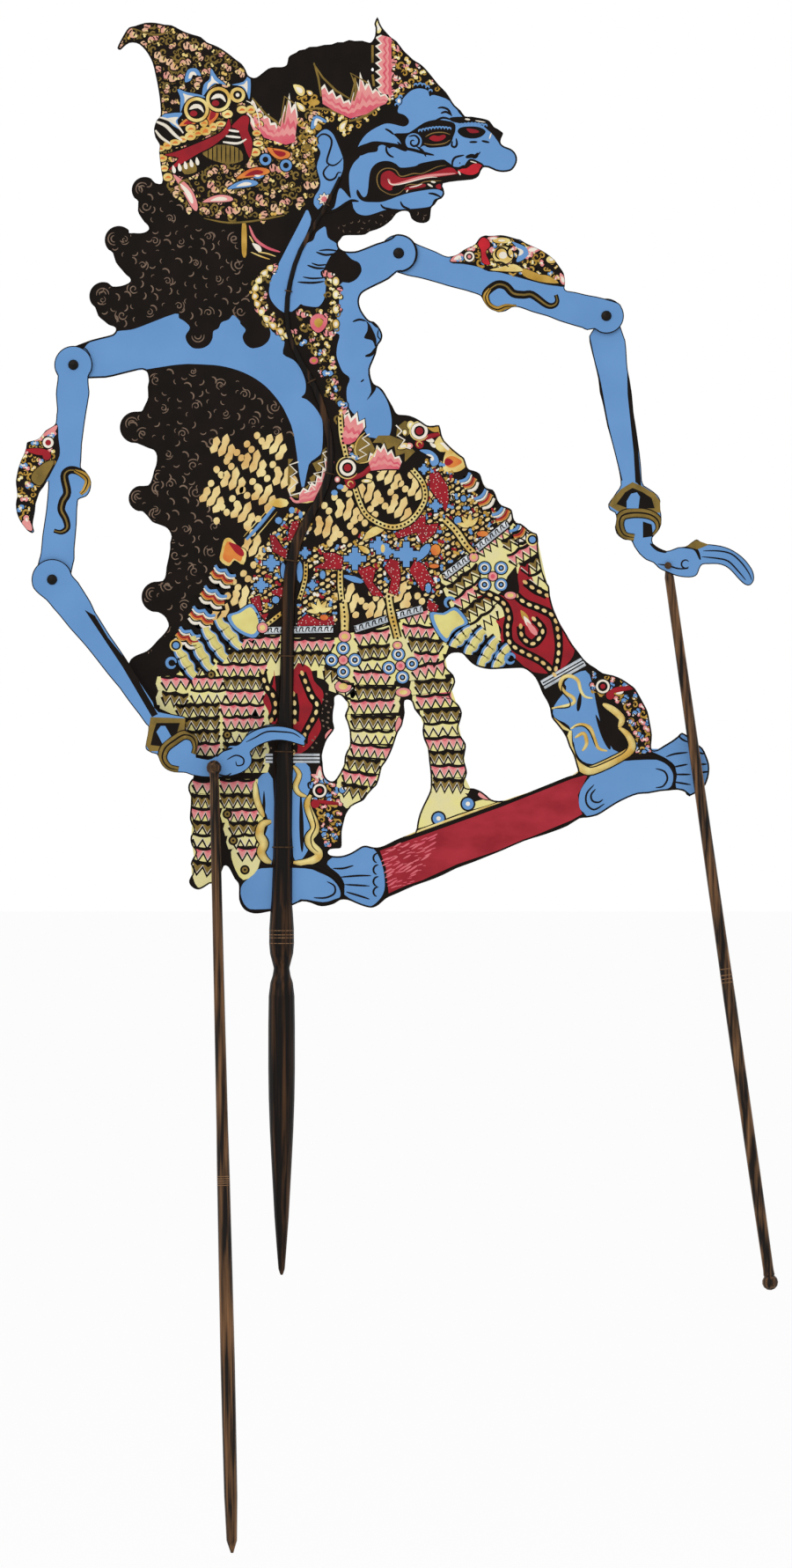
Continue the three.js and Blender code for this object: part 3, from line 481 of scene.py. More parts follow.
CHEST_BACK = [*arc((-141.9, 620), 12.2, 60, 290, 10),
    *path(-130, 608.5, -100, 615.5, -80, 619, -68, 620.5, -55, 620.5, -42, 619.5, -30, 616.5, -20, 612,
        -12, 606.5, -6, 600.5, -1, 594, 3, 587, 8.5, 572, 14, 535.5, 18.5, 552, 24, 557, 27.5, 562, 28, 580,
        25.5, 587, 21.5, 592.5, 17, 596.5, 13.5, 598, 16, 601, 16.5, 607, 15, 613, 12, 619, 8, 623.5,
        1, 627.5, 2, 635.5, -1, 639.5, -6, 642.5, -8, 645, -7.5, 641, -9, 636.5, -13, 633, -18, 631.5,
        -22, 632, -25.5, 635.5, -26.5, 640, -24.5, 644, -28, 648, -28.5, 650, -33, 654, -36, 651, -41, 649,
        -43, 645, -46.5, 643, -47, 638.5, -49.5, 634, -54, 631.5, -60, 631.5, -64, 635, -65.5, 640,
        -62.5, 645.5, -66.5, 650, -70, 652, -72.5, 655, -95, 646.5, -103, 644, -112, 643, -115, 640.5,
        -130, 636)]
CHEST_FRONT = [*path(43, 698, 50, 698, 55, 700, 60, 702, 65, 704, 70, 706),
    *arc((79.8, 696.2), 12.3, 110, -80, 11),
    *path(73, 679.5, 58, 672, 54, 669, 52, 665.5, 52, 661, 54, 656.5, 57.5, 651.5, 60.5, 649.5, 63, 649,
        65.5, 646, 68, 640, 67, 637, 65.5, 634.5, 63.5, 628, 59.5, 617.5, 60, 611, 62, 606.5, 65.5, 604.5,
        68, 602, 71, 597.5, 73.5, 591, 75, 583, 74.5, 575, 72, 570, 68, 569.5, 62, 570.5, 58.5, 572,
        53, 582.5, 46.5, 590, 44.5, 597, 44.5, 604.5, 46.5, 611, 42, 615, 39.5, 620, 37.5, 626.5, 38, 633.5,
        39.5, 640.5, 36, 643.5, 39, 658, 40, 675, 46, 676, 51, 678.5, 54.5, 684, 53, 689.5, 48, 692,
        44.5, 695.5)]
NECK = path(30, 714, 31.5, 707, 36.5, 703.5, 38.5, 701, 37.5, 698, 34, 695, 31, 690, 28.5, 683.5, 30, 676,
    30, 671, 29, 665, 26.5, 661, 23.5, 659.5, 15.5, 660.5, 13, 661.5, 10.5, 659, 5.5, 656.5, 5.5, 668,
    7.5, 683, 11.5, 697, 16.5, 702.5, 21.5, 705, 23.5, 710, 27, 713)
NECK_BACK = path(17, 725.5, 19, 723, 19.5, 715.5, 9.5, 692.5, 4, 672, 2.5, 657, 0.5, 656.5, -3.5, 659.5,
    -7, 664, -8.5, 669, -8, 674.5, -6, 681, 13.5, 719)
EAR = path(31, 780.5, 34.5, 778, 37, 773.5, 41.5, 762, 42, 756.5, 41, 750.5, 34, 737.5, 26, 727, 24, 727,
    22, 730, 22.5, 734.5, 25.5, 739.5, 26.5, 745, 24, 755, 26.5, 764, 25.5, 767.5, 23.5, 771, 23, 774.5,
    25, 777.5, 28, 780)
FACE = path(46, 746, 46.5, 752, 49.5, 758, 53.5, 762.5, 52, 768.5, 58, 777.5, 68, 783.5, 74, 784.5,
    83, 782.5, 86.5, 784.5, 86.5, 787.5, 83.5, 790.5, 79.5, 792, 79.5, 795, 81.5, 799.5, 84.5, 803.5,
    88.5, 807, 94, 808.5, 99.5, 807, 101, 803, 104, 804, 115.5, 799.5, 124, 788.5, 138, 785.5, 144, 780,
    148, 775, 149, 770.5, 152, 768, 156, 766.5, 158.5, 764.5, 159.5, 761.5, 159.5, 758, 158, 755, 155.5, 753,
    151, 752.5, 146, 753, 141, 755.5, 137, 755.5, 130, 752, 120, 750, 111, 747, 110, 741, 110, 737,
    108.5, 734.5, 106, 733, 104, 730, 101, 728, 95, 727, 82, 726, 76, 726.5, 70, 725.5, 61, 722.5, 56, 722,
    51.5, 723.5, 49, 727, 48.5, 729.5, 47, 731.5, 40, 727, 31.5, 724.5, 36, 727.5, 38, 736.5, 40.5, 740.5,
    47, 733.5, 46.5, 739)
skin_lift = 0.05
paint("skin", [(BLUE, skin_lift, [CHEST_BACK, CHEST_FRONT, NECK, NECK_BACK, EAR, FACE])])
for arm in ARM_ENDS:
    outer = [(x / MM, z / MM) for x, z in SHEETS[arm].rings[0]]
    paint(SHORT_NAMES[arm] + "_skin", [(BLUE, skin_lift, [inset(outer, EDGE_LINE)])], node=arm, sharp=True)


# The drawn lines. Every line is a stroke of a fine brush, thin at both ends, that stands a hair above the
# coat beneath it. A node tree lays them as ribbons along drawn paths, the first one round every cut edge.
def new_tree(name, inputs):
    """A node tree that takes and gives geometry, with named inputs as (name, kind, value)."""
    tree = bpy.data.node_groups.new(name, "GeometryNodeTree")
    tree.interface.new_socket("Geometry", in_out="INPUT", socket_type="NodeSocketGeometry")
    tree.interface.new_socket("Geometry", in_out="OUTPUT", socket_type="NodeSocketGeometry")
    for label, kind, value in inputs:
        socket = tree.interface.new_socket(label, in_out="INPUT", socket_type="NodeSocket" + kind)
        if value is not None:
            socket.default_value = value
    return tree, tree.nodes.new("NodeGroupInput").outputs, tree.nodes.new("NodeGroupOutput")


def add_node(tree, kind, links=(), **settings):
    """Adds a node, sets its options and joins its inputs, each as (input, source or value)."""
    made = tree.nodes.new(kind)
    for key, value in settings.items():
        setattr(made, key, value)
    for key, source in dict(links).items():
        if isinstance(source, bpy.types.NodeSocket):
            tree.links.new(source, made.inputs[key])
        else:
            made.inputs[key].default_value = source
    return made


def calc(tree, operation, first, second):
    """One step of arithmetic on two numbers or outputs of a tree."""
    return add_node(tree, "ShaderNodeMath", {0: first, 1: second}, operation=operation).outputs[0]


def end_tree(tree, last, given, group_out):
    """Turns copies into real faces, gives them their finish and ends the tree."""
    real = add_node(tree, "GeometryNodeRealizeInstances", {"Geometry": last})
    coat = add_node(tree, "GeometryNodeSetMaterial", {0: real.outputs[0], "Material": given["Finish"]})
    tree.links.new(coat.outputs[0], group_out.inputs[0])


def grow(tree, data, values):
    """Runs a tree on a curve or mesh, with its inputs set by their identifiers, and returns plain faces."""
    seed = bpy.data.objects.new("seed", data)
    bpy.context.collection.objects.link(seed)
    maker = seed.modifiers.new("grow", "NODES")
    maker.node_group = tree
    for item in tree.interface.items_tree:
        if item.in_out == "INPUT" and item.name in values:
            maker[item.identifier] = values[item.name]
    graph = bpy.context.evaluated_depsgraph_get()
    made = bpy.data.meshes.new_from_object(seed.evaluated_get(graph))
    seed.modifiers.remove(maker)
    bpy.data.objects.remove(seed)
    mesh = bmesh.new()
    mesh.from_mesh(made)
    bpy.data.meshes.remove(made)
    return mesh


STROKE, given, group_out = new_tree("brush_stroke", [
    ("Width", "Float", 1.0), ("Lift", "Float", 0.1), ("Sink", "Float", 0.05), ("Blunt", "Float", 0.3),
    ("Finish", "Material", None)])
gone = add_node(STROKE, "GeometryNodeSplineParameter").outputs["Factor"]
left = calc(STROKE, "SUBTRACT", 1.0, gone)
both = calc(STROKE, "MULTIPLY", gone, left)
full = calc(STROKE, "MULTIPLY", both, 4.0)
taper = calc(STROKE, "POWER", full, 0.35)
swell = calc(STROKE, "MAXIMUM", taper, given["Blunt"])
bristle = calc(STROKE, "MULTIPLY", swell, add_node(STROKE, "GeometryNodeInputRadius").outputs[0])
level = add_node(STROKE, "GeometryNodeSetCurveNormal", {0: given[0]}, mode="Z_UP")
flat_tip = add_node(STROKE, "GeometryNodeCurvePrimitiveQuadrilateral", {
    "Width": given["Width"], "Height": given["Sink"]})
ribbon = add_node(STROKE, "GeometryNodeCurveToMesh", {
    "Curve": level.outputs[0], "Profile Curve": flat_tip.outputs[0], "Scale": bristle,
    "Fill Caps": True})
spot = add_node(STROKE, "ShaderNodeSeparateXYZ",
    {0: add_node(STROKE, "GeometryNodeInputPosition").outputs[0]})
above = add_node(STROKE, "FunctionNodeCompare", {0: spot.outputs["Z"]}, operation="GREATER_THAN")
below = calc(STROKE, "MULTIPLY", given["Sink"], -1.0)
height = add_node(STROKE, "GeometryNodeSwitch", {
    "Switch": above.outputs[0], "False": below, "True": given["Lift"]},
    input_type="FLOAT")
place = add_node(STROKE, "ShaderNodeCombineXYZ", {
    "X": spot.outputs["X"], "Y": spot.outputs["Y"], "Z": height.outputs[0]})
pressed = add_node(STROKE, "GeometryNodeSetPosition", {0: ribbon.outputs[0], "Position": place.outputs[0]})
end_tree(STROKE, pressed.outputs[0], given, group_out)


def as_curve(lines, closed=False, smoothed=True):
    """Paths in millimetres as one curve; a path may start with its own width factor."""
    curve = bpy.data.curves.new("path", "CURVE")
    curve.dimensions = "3D"
    for line in lines:
        factor, line = (line[0], line[1:]) if isinstance(line[0], (int, float)) else (1, line)
        points = smooth(line, closed=closed, steps=4) if smoothed else line
        spline = curve.splines.new("POLY")
        spline.points.add(len(points) - 1)
        spline.use_cyclic_u = closed
        for knot, (x, z) in zip(spline.points, points):
            knot.co = (x * MM, z * MM, 0, 1)
            knot.radius = factor
    return curve


def brush(name, finish, lift, width, lines, node="body_hide", closed=False, smoothed=True, blunt=0.3):
    """Draws lines with one brush on both faces of a sheet."""
    mesh = grow(STROKE, as_curve(lines, closed, smoothed), {
        "Width": width * MM, "Lift": lift * MM, "Sink": SINK, "Blunt": 1.0 if closed else blunt,
        "Finish": finish})
    return lay_piece(name, mesh, node, [finish])


EDGE_WIDTH = 1.2
EDGE_INSET = 0.55
cut_edges = [inset([(x / MM, z / MM) for x, z in ring], -EDGE_INSET if place else EDGE_INSET)
             for place, ring in enumerate(SHEETS["body_hide"].rings)]
brush("hide_edge_line", INK, 0.172, EDGE_WIDTH, cut_edges, closed=True, smoothed=False)


# The face. Black is laid in for the eyes, brow and mouth, then the red tongue with its pink and white
# edge, the gold line round the mouth, the red pupils and the curled line work of brow, nose and ear.
RED = mottled("mouth_red_paint", "a51423", "8c1220", 80, rough=0.45)
BRIGHT_RED = mottled("bright_red_paint", "d11f2d", "b01a28", 80, rough=0.45)
PINK = mottled("pink_paint", "e58a8a", "ea9c98", 70, rough=0.5)
SHELL = mottled("shell_pink_paint", "dd9488", "e6bf98", 90, rough=0.5)
WHITE = mottled("white_paint", "f6efe2", "ece2cf", 70, rough=0.5)
GOLD_LINE = mottled("gold_line", "94763f", "7a5f33", 90, rough=0.4, metal=0.25)
black_lift, colour_lift, line_lift = 0.09, 0.12, 0.15
EYE = path(76.5, 777.5, 84, 778, 88, 779, 97, 785, 104, 787, 109, 787, 117.5, 785, 118.5, 780, 117, 775.5,
    115.5, 771.5, 112, 769, 101, 768, 97, 769.5, 93, 767.5, 84.5, 766.5, 80, 773.5)
FAR_EYE = path(120, 779.4, 122, 781.8, 128, 782.6, 134, 782.2, 138, 780.6, 139, 778.5, 136, 775.6,
    131, 774.3, 125, 775, 121.5, 777)
BRIDGE = path(115, 788.6, 123, 789.2, 129, 789, 138, 787.4, 142, 785.4, 145, 781.5, 150.4, 778.2,
    149.3, 770.4, 147, 773, 144, 777, 140, 780.6, 136, 783.6, 130, 784.8, 124, 784.4, 116, 786)
CREASE = path(50, 764, 52, 768.5, 58, 771, 65, 772.5, 82, 770, 86, 767.5, 84, 765.5, 76.5, 768.5,
    73.5, 767.5, 72, 768.5, 69, 770, 66, 769, 65, 765.5, 59, 764.5, 53.5, 762.5)
MOUTH = path(58.5, 737, 60, 750, 62.5, 755.5, 67, 758.5, 73, 759, 78, 757, 81.5, 754.5, 91, 755.5, 95, 757.5,
    109, 760, 113, 758.5, 119, 754.5, 124, 755.5, 127.5, 760, 131.5, 760, 138.5, 755.5, 134, 749.5,
    130, 747.5, 111.5, 745, 110, 742, 110.5, 738, 107, 739.5, 100, 739.5, 84, 736.5, 70, 731.5, 62, 731,
    56, 731.5, 52.5, 734, 51, 737.5, 52, 739.5, 55.5, 734.5)
TONGUE = path(67.5, 745, 68, 749.5, 71, 752, 75, 752, 81.5, 747.5, 92, 749, 104, 751.5, 113, 754.5, 117, 754,
    119, 752, 119, 750, 92, 746, 76.5, 742, 75.5, 739.5, 73, 739, 70, 740.5, 68, 742.5)
FRONT_LIP = path(120, 753.5, 122.5, 751, 128, 749.5, 133, 750.5, 136, 754, 136.5, 756, 133, 757.5,
    129.5, 756.5, 126, 754)
spiral = [(90 + (0.8 + 0.52 * t) * math.cos(0.95 * t + 1), 772 + (0.8 + 0.52 * t) * math.sin(0.95 * t + 1))
          for t in range(9)]
paint("face_ground", [(INK, black_lift, [EYE, FAR_EYE, BRIDGE, CREASE, MOUTH]),
    (BLUE, colour_lift, [arc((90, 772.3), 5.6, 0, 330), arc((121, 758), 3.5, 0, 330, 9)]),
    (BRIGHT_RED, colour_lift, [FRONT_LIP]),
    (RED, colour_lift, [TONGUE, path(84, 740.5, 90, 742.5, 97, 743.5, 98, 741.5, 90, 740, 85, 739),
        path(105, 742, 108, 743.5, 109, 740.5, 106.5, 740),
        path(100.5, 774.5, 103.5, 776.5, 107, 776, 110.5, 777, 112, 775.5, 109, 773, 104, 772.5),
        path(126, 781, 129, 781, 133.5, 780, 134.5, 778.5, 131, 778, 128, 778.5)])])
brush("mouth_edge", PINK, 0.14, 1.9, [path(73.5, 746.5, 74.5, 743.5, 80, 743.5, 98, 748.5, 118.5, 750.5)])
brush("mouth_white", WHITE, 0.16, 0.8, [path(72.5, 747, 74, 743.5, 80, 743, 98, 747.5, 106, 748),
    path(87, 741, 92, 742, 96, 743.5), [1.8, (99.5, 743.4), (103, 741.4)], [1.8, (101.8, 745), (105, 744.4)],
    [1.2, (85, 737.8), (86.3, 739.4)], [1.6, (125, 787.6), (128.5, 787.2)], [(132, 786.6), (139, 785.4)],
    [1.5, (120.5, 752.2), (122, 749.4)], [(128.6, 758.9), (133, 757.6)], [1.2, (141.6, 774), (143, 778)]])
brush("mouth_gold", GOLD_LINE, line_lift, 0.75, [
    path(84, 740.5, 80, 737, 75, 736, 70, 738, 66.5, 741, 65, 746, 66, 750.5, 69.5, 753.5, 74, 754,
        78, 752.5, 81.5, 748.5, 90, 750.5, 96, 750.5, 106, 755, 112, 756),
    path(84, 741.5, 87, 743, 93, 743, 98, 745, 109, 745.5), path(97, 771, 103, 770, 111, 771, 115, 773.5),
    path(98, 775.5, 103, 778, 110, 778.5, 115, 777)])
near_lid = [(94.5 + 2.2 * i, 778.6 + 2.6 * math.sin(math.pi * (i + 1) / 14)) for i in range(10)]
far_lid = [(120.5 + 2.3 * i, 782.6 + 1.2 * math.sin(math.pi * (i + 0.5) / 9)) for i in range(9)]
brow = path(78.5, 797, 79, 800, 81, 802.5, 91.5, 810.5, 94.5, 811, 97, 810.5, 99.5, 809, 101.5, 806.5)
curls = [arc(spot, 1.15, 200, -20, 4) for spot in near_lid + far_lid + brow]
brush("brow_curls", BLUE, line_lift, 1.1, curls)
brush("face_lines", INK, line_lift, 1.5, [spiral,
    [1.4, *path(79, 772, 83.5, 768, 90, 766.5, 97, 764.5, 104, 763)], path(92, 769, 96, 766, 98.5, 762),
    path(71.5, 770, 71.5, 766, 73.5, 763, 76.5, 761.5), path(70.5, 781, 73.5, 779.5, 76.5, 777),
    path(106.5, 795, 109.5, 795.5, 113.5, 794, 116, 789.5), path(108.5, 791.5, 112, 792.5, 115.5, 790.5),
    path(104, 786, 110, 788.5, 116, 787), path(116.5, 755, 116.5, 758.5, 118.5, 761.5, 124.5, 763),
    [1.3, (117.5, 754.5), (121, 754), (124.5, 756)],
    [1.9, (125.5, 761.5), (129.5, 762.5), (132, 762), (134, 764.5)], [0.6, (133.4, 762.6), (135.5, 765.3)],
    [0.8, (121.2, 757.6), (121.9, 757.6)],
    path(116.5, 772.5, 116, 769.5, 118, 768.5, 119.5, 770.5, 119, 774.5), [(128, 771.9), (133.5, 772)],
    [(136.3, 772.8), (141.7, 771.6)], path(100, 737, 104, 736.5, 108.5, 734.5),
    path(81, 731.5, 83, 728, 88, 726), path(67.5, 729.5, 70, 727, 76, 726),
    [0.9, (107.5, 733.5), (104.5, 732), (102.5, 727.5)],
    [1.6, *path(28, 723.5, 37, 725.5, 44, 730, 48, 732, 52.5, 731.5)],
    [0.9,
        *path(25.5, 770.5, 24.5, 774, 27, 777, 30.5, 777, 33.5, 774.5, 34, 770, 31, 760, 32, 757, 35.5, 756,
            39, 758, 41.5, 761)],
    [0.9, *path(41, 751, 38.5, 751, 36.5, 747.5, 33, 746, 30, 747.5, 28.5, 751, 30.5, 754.5, 33, 756.5)],
    [0.8, (39, 697.5), (32.5, 698.5), (25.5, 698)], path(37, 696, 30, 695, 23.5, 697),
    [0.8, (31, 688.5), (25, 688), (20.5, 689.5)], path(30, 686, 24, 686, 17.5, 688),
    [0.8, (29.5, 679.5), (21, 679), (14.5, 680)], path(29, 677, 21, 676, 11, 676.5),
    path(48.5, 649.5, 53, 651, 57.5, 650), [1.5, (57, 626), (61.5, 627.5), (64.5, 632)],
    [0.7, (54, 608.4), (56.2, 610.2)], [0.6, (60.5, 650), (64, 646.5), (66.5, 645)],
    [0.6, (66, 644), (65.5, 640), (67.5, 637)], [0.5, (-139, 633.5), (-133.5, 631), (-130, 626)],
    arc((79.8, 696.2), 12.2, 44, -36, 7)])
paint("chest_folds", [
    (INK, line_lift, [
        path(57, 650.5, 60.5, 647, 64.5, 638, 64, 632, 62, 636.5, 57, 638, 56.5, 639.5, 58.5, 643.5,
            58.5, 648),
        path(59, 614, 61.5, 609, 64.5, 605.5, 63, 601.5, 58, 596, 61, 601.5, 60.5, 607)])])


# The hair. A black mass that hangs behind the head and back, with fine brown curls drawn all over it, one
# spiral in every knob, and short curls in the beard. The curls are scattered by a node tree.
FULL_TURN = 6.28
MARKS_PER_SQUARE_METRE = 200000
SCATTER, given, group_out = new_tree("scattered_marks", [
    ("Mark", "Object", None), ("Gap", "Float", 0.01), ("Smallest", "Float", 0.7), ("Largest", "Float", 1.2),
    ("Turn", "Float", FULL_TURN), ("Seed", "Int", 0), ("Finish", "Material", None)])
mark = add_node(SCATTER, "GeometryNodeObjectInfo", {"Object": given["Mark"]})
points = add_node(SCATTER, "GeometryNodeDistributePointsOnFaces", {
    "Mesh": given[0], "Distance Min": given["Gap"], "Density Max": MARKS_PER_SQUARE_METRE,
    "Seed": given["Seed"]}, distribute_method="POISSON")
spin = add_node(SCATTER, "FunctionNodeRandomValue", {
    2: 0.0, 3: given["Turn"], "Seed": given["Seed"]}, data_type="FLOAT")
turn = add_node(SCATTER, "ShaderNodeCombineXYZ", {"Z": spin.outputs[1]})
size = add_node(SCATTER, "FunctionNodeRandomValue", {
    2: given["Smallest"], 3: given["Largest"], "Seed": given["Seed"]},
    data_type="FLOAT")
flat_size = add_node(SCATTER, "ShaderNodeCombineXYZ", {"X": size.outputs[1], "Y": size.outputs[1], "Z": 1.0})
marks = add_node(SCATTER, "GeometryNodeInstanceOnPoints", {
    "Points": points.outputs[0], "Instance": mark.outputs["Geometry"], "Rotation": turn.outputs[0],
    "Scale": flat_size.outputs[0]})
end_tree(SCATTER, marks.outputs[0], given, group_out)


def flat(shapes):
    """Closed shapes in millimetres as flat faces for a tree to fill."""
    mesh = bmesh.new()
    for shape in shapes:
        ring = [mesh.verts.new((x * MM, z * MM, 0)) for x, z in smooth(shape)]
        face = mesh.faces.new(ring)
        face.normal_update()
        if face.normal.z < 0:
            face.normal_flip()
    bmesh.ops.triangulate(mesh, faces=mesh.faces)
    data = bpy.data.meshes.new("region")
    mesh.to_mesh(data)
    mesh.free()
    return data


def stamp(lift, shapes=(), lines=(), width=0.8, sharp=False):
    """One small mark around its own middle, cut from shapes or drawn as brush lines."""
    if lines:
        mesh = grow(STROKE, as_curve(lines), {"Width": width * MM, "Lift": lift * MM, "Sink": SINK})
    else:
        mesh = bmesh.new()
    for shape in shapes:
        ring = [(x * MM, z * MM) for x, z in shape]
        prism(mesh, [ring if sharp else smooth(ring, steps=2)], lift * MM, 0, low=-SINK)
    data = bpy.data.meshes.new("mark")
    mesh.to_mesh(data)
    mesh.free()
    return data


def fill(name, finish, tree, ground, mark, node="body_hide", **values):
    """Runs a tree that repeats a mark over a ground, and lays the result on both faces of a sheet."""
    made = bpy.data.objects.new("mark", mark)
    bpy.context.collection.objects.link(made)
    mesh = grow(tree, ground, {"Mark": made, "Finish": finish, **values})
    bpy.data.objects.remove(made)
    return lay_piece(name, mesh, node, [finish])


CURL = mottled("curl_brown_paint", "6f5a4b", "86705f", 300, rough=0.6)
HAIR = [
    path(-127, 666, -121, 673, -106, 669, -99, 676, -104, 688, -112, 697, -117, 705, -108, 712, -95, 705,
        -86, 713, -94, 725, -99, 738, -92, 744, -84, 740, -76, 737, -66, 722, -50, 713, -30, 711, -28, 690,
        -24, 680, -24, 660, -28, 654, -36, 658, -56, 648, -66, 655, -76, 660, -90, 654, -108, 648,
        -120, 655),
    path(-86, 612, -60, 616, -32, 611, -12, 599, 0, 585, 6, 570, -4, 574, -28, 577, -44, 566, -54, 556,
        -56, 540, -54, 528, -47, 514, -44, 500, -47, 488, -55, 476, -61, 462, -68, 450, -90, 431, -98, 420,
        -83, 436, -76, 446, -80, 456, -92, 460, -84, 474, -75, 482, -72, 500, -80, 513, -92, 519, -101, 528,
        -92, 535, -83, 548, -82, 564, -98, 568, -105, 578, -88, 594)]
short_curls = stamp(0.09, lines=[arc((0, 0), 2.3, 20, 150, 5)], width=0.85)
fill("hair_curls", CURL, SCATTER, flat(HAIR), short_curls, Gap=6.4 * MM, Smallest=0.5,
     Largest=1.35, Turn=FULL_TURN, Seed=4)
ringlet = [((0.6 + 0.33 * t) * math.cos(0.9 * t), (0.6 + 0.33 * t) * math.sin(0.9 * t)) for t in range(9)]
long_curls = stamp(0.09, lines=[ringlet, arc((0, 0), 4.6, 200, 300, 5)], width=0.8)
fill("hair_ringlets", CURL, SCATTER, flat(HAIR), long_curls, Gap=17 * MM, Smallest=0.7,
     Largest=1.1, Turn=FULL_TURN, Seed=11)
KNOBS = [(-98, 530, 60), (-88, 464, 70), (-102, 580, 30), (-122, 668, 0), (-114, 706, 90), (-95, 740, 40),
    (-84, 544, 70), (-84, 536, 80), (-74, 503, 100), (-86, 518, 80), (-57, 640, 180)]
brush("knob_curls", CURL, 0.09, 0.85,
    [arc((x, z), radius, start, start + 190, 8) for x, z, start in KNOBS for radius in (2.2, 4.2)])
beard_ground = [path(38, 712, 48, 710, 60, 713, 70, 716, 78, 722, 70, 722, 60, 719, 50, 720),
    path(88, 722, 91, 719, 96, 718, 100, 721, 100, 725, 94, 725)]
fill("beard_curls", CURL, SCATTER, flat(beard_ground), short_curls, Gap=3.4 * MM,
     Smallest=0.3, Largest=0.6, Turn=FULL_TURN, Seed=3)


# The printed skirt cloth. Cream and tan seeds in slanting rows on black, in the manner of wax-resist
# cloth: bands of long paired seeds, with small round ones between them. A node tree sets out the rows.
ROWS, given, group_out = new_tree("slanting_rows", [
    ("Mark", "Object", None), ("Along", "Float", 0.007), ("Across", "Float", 0.022), ("Slant", "Float", 0.7),
    ("Lean", "Float", 0.4), ("Shift", "Float", 0.0), ("Sway", "Float", 0.12), ("Middle", "Vector", None),
    ("Count", "Int", 40), ("Seed", "Int", 0), ("Finish", "Material", None)])
mark = add_node(ROWS, "GeometryNodeObjectInfo", {"Object": given["Mark"]})
fewer = calc(ROWS, "SUBTRACT", given["Count"], 1.0)
long_side = calc(ROWS, "MULTIPLY", fewer, given["Along"])
short_side = calc(ROWS, "MULTIPLY", fewer, given["Across"])
lattice = add_node(ROWS, "GeometryNodeMeshGrid", {
    "Size X": long_side, "Size Y": short_side,
    "Vertices X": given["Count"], "Vertices Y": given["Count"]})
number = add_node(ROWS, "GeometryNodeInputIndex").outputs[0]
row = calc(ROWS, "MODULO", number, given["Count"])
odd = calc(ROWS, "MODULO", row, 2.0)
half = calc(ROWS, "MULTIPLY", odd, given["Along"])
step = calc(ROWS, "MULTIPLY", half, 0.5)
push = add_node(ROWS, "ShaderNodeCombineXYZ", {"X": step, "Y": given["Shift"]})
staggered = add_node(ROWS, "GeometryNodeSetPosition", {0: lattice.outputs[0], "Offset": push.outputs[0]})
slant = add_node(ROWS, "ShaderNodeCombineXYZ", {"Z": given["Slant"]})
turned = add_node(ROWS, "GeometryNodeTransform", {
    "Geometry": staggered.outputs[0], "Rotation": slant.outputs[0], "Translation": given["Middle"]})
where = add_node(ROWS, "ShaderNodeVectorMath", {
    0: add_node(ROWS, "GeometryNodeInputPosition").outputs[0], 1: (0.0, 0.0, 1.0)}, operation="ADD")
inside = add_node(ROWS, "GeometryNodeRaycast", {
    "Target Geometry": given[0], "Source Position": where.outputs[0],
    "Ray Direction": (0.0, 0.0, -1.0), "Ray Length": 2.0})
wander = add_node(ROWS, "FunctionNodeRandomValue", {
    2: -1.0, 3: 1.0, "Seed": given["Seed"]}, data_type="FLOAT")
sway = calc(ROWS, "MULTIPLY", wander.outputs[1], given["Sway"])
lean = calc(ROWS, "ADD", sway, given["Lean"])
aim = add_node(ROWS, "ShaderNodeCombineXYZ", {"Z": lean})
seeds = add_node(ROWS, "GeometryNodeInstanceOnPoints", {
    "Points": turned.outputs[0], "Selection": inside.outputs["Is Hit"], "Instance": mark.outputs["Geometry"],
    "Rotation": aim.outputs[0]})
end_tree(ROWS, seeds.outputs[0], given, group_out)

CREAM = mottled("seed_cream_paint", "f1dc9c", "dbb16c", 60, rough=0.5)
CLOTH = [
    path(-8, 570, -28, 572, -40, 564, -48, 552, -51, 538, -49, 522, -42, 508, -33, 505, -22, 503, -10, 516,
        -5, 524, -8, 528, 2, 532, 3, 552, -1, 560),
    path(-2, 520, -16, 506, -22, 492, -30, 480, -41, 452, -36, 448, -28, 458, -22, 462, -17, 478, -13, 494,
        -6, 508),
    path(17, 512, 26, 522, 34, 536, 46, 534, 60, 512, 60, 500, 50, 498, 40, 495, 28, 496, 18, 498),
    path(54, 536, 58, 546, 70, 554, 84, 556, 92, 548, 97, 536, 96, 526, 88, 517, 76, 512, 64, 515, 56, 524),
    path(45, 446, 45, 476, 54, 479, 66, 461, 73, 460, 73, 449),
    path(76, 449, 77, 464, 83, 473, 92, 473, 98, 461, 98, 454)]
slope = math.radians(40)
seed_half = path(-0.5, 0.02, -0.28, 0.5, 0, 0.34, 0.28, 0.5, 0.5, 0.02)
long_seed = stamp(0.09, shapes=[
    [(x + length * t, y + 5.3 * h + 3 * t * t) for t, h in seed_half]
    + [(x + length * t, y - 5.3 * h + 3 * t * t) for t, h in reversed(seed_half)]
    for x, y, length in ((-2.2, -5.7, 12.6), (1.2, 0, 16.4), (-0.6, 5.7, 12))])
round_seed = stamp(0.09, shapes=[path(-2.5, -0.4, -1.2, 1.8, 1, 2.2, 2.6, 0.4, 1.4, -1.8, -1, -2)])
printed = {"Slant": slope, "Middle": Vector((10 * MM, 505 * MM, 0)), "Count": 44}
fill("cloth_long_seeds", CREAM, ROWS, flat(CLOTH), long_seed, Along=18.6 * MM, Across=22 * MM,
     Lean=math.radians(68), Shift=0.0, Sway=0.16, Seed=5, **printed)
for shift in (8.6, 13.4):
    fill(f"cloth_round_seeds_{shift:.0f}", CREAM, ROWS, flat(CLOTH), round_seed,
         Along=9 * MM, Across=22 * MM, Lean=math.radians(50), Shift=shift * MM, Sway=0.5, Seed=6, **printed)


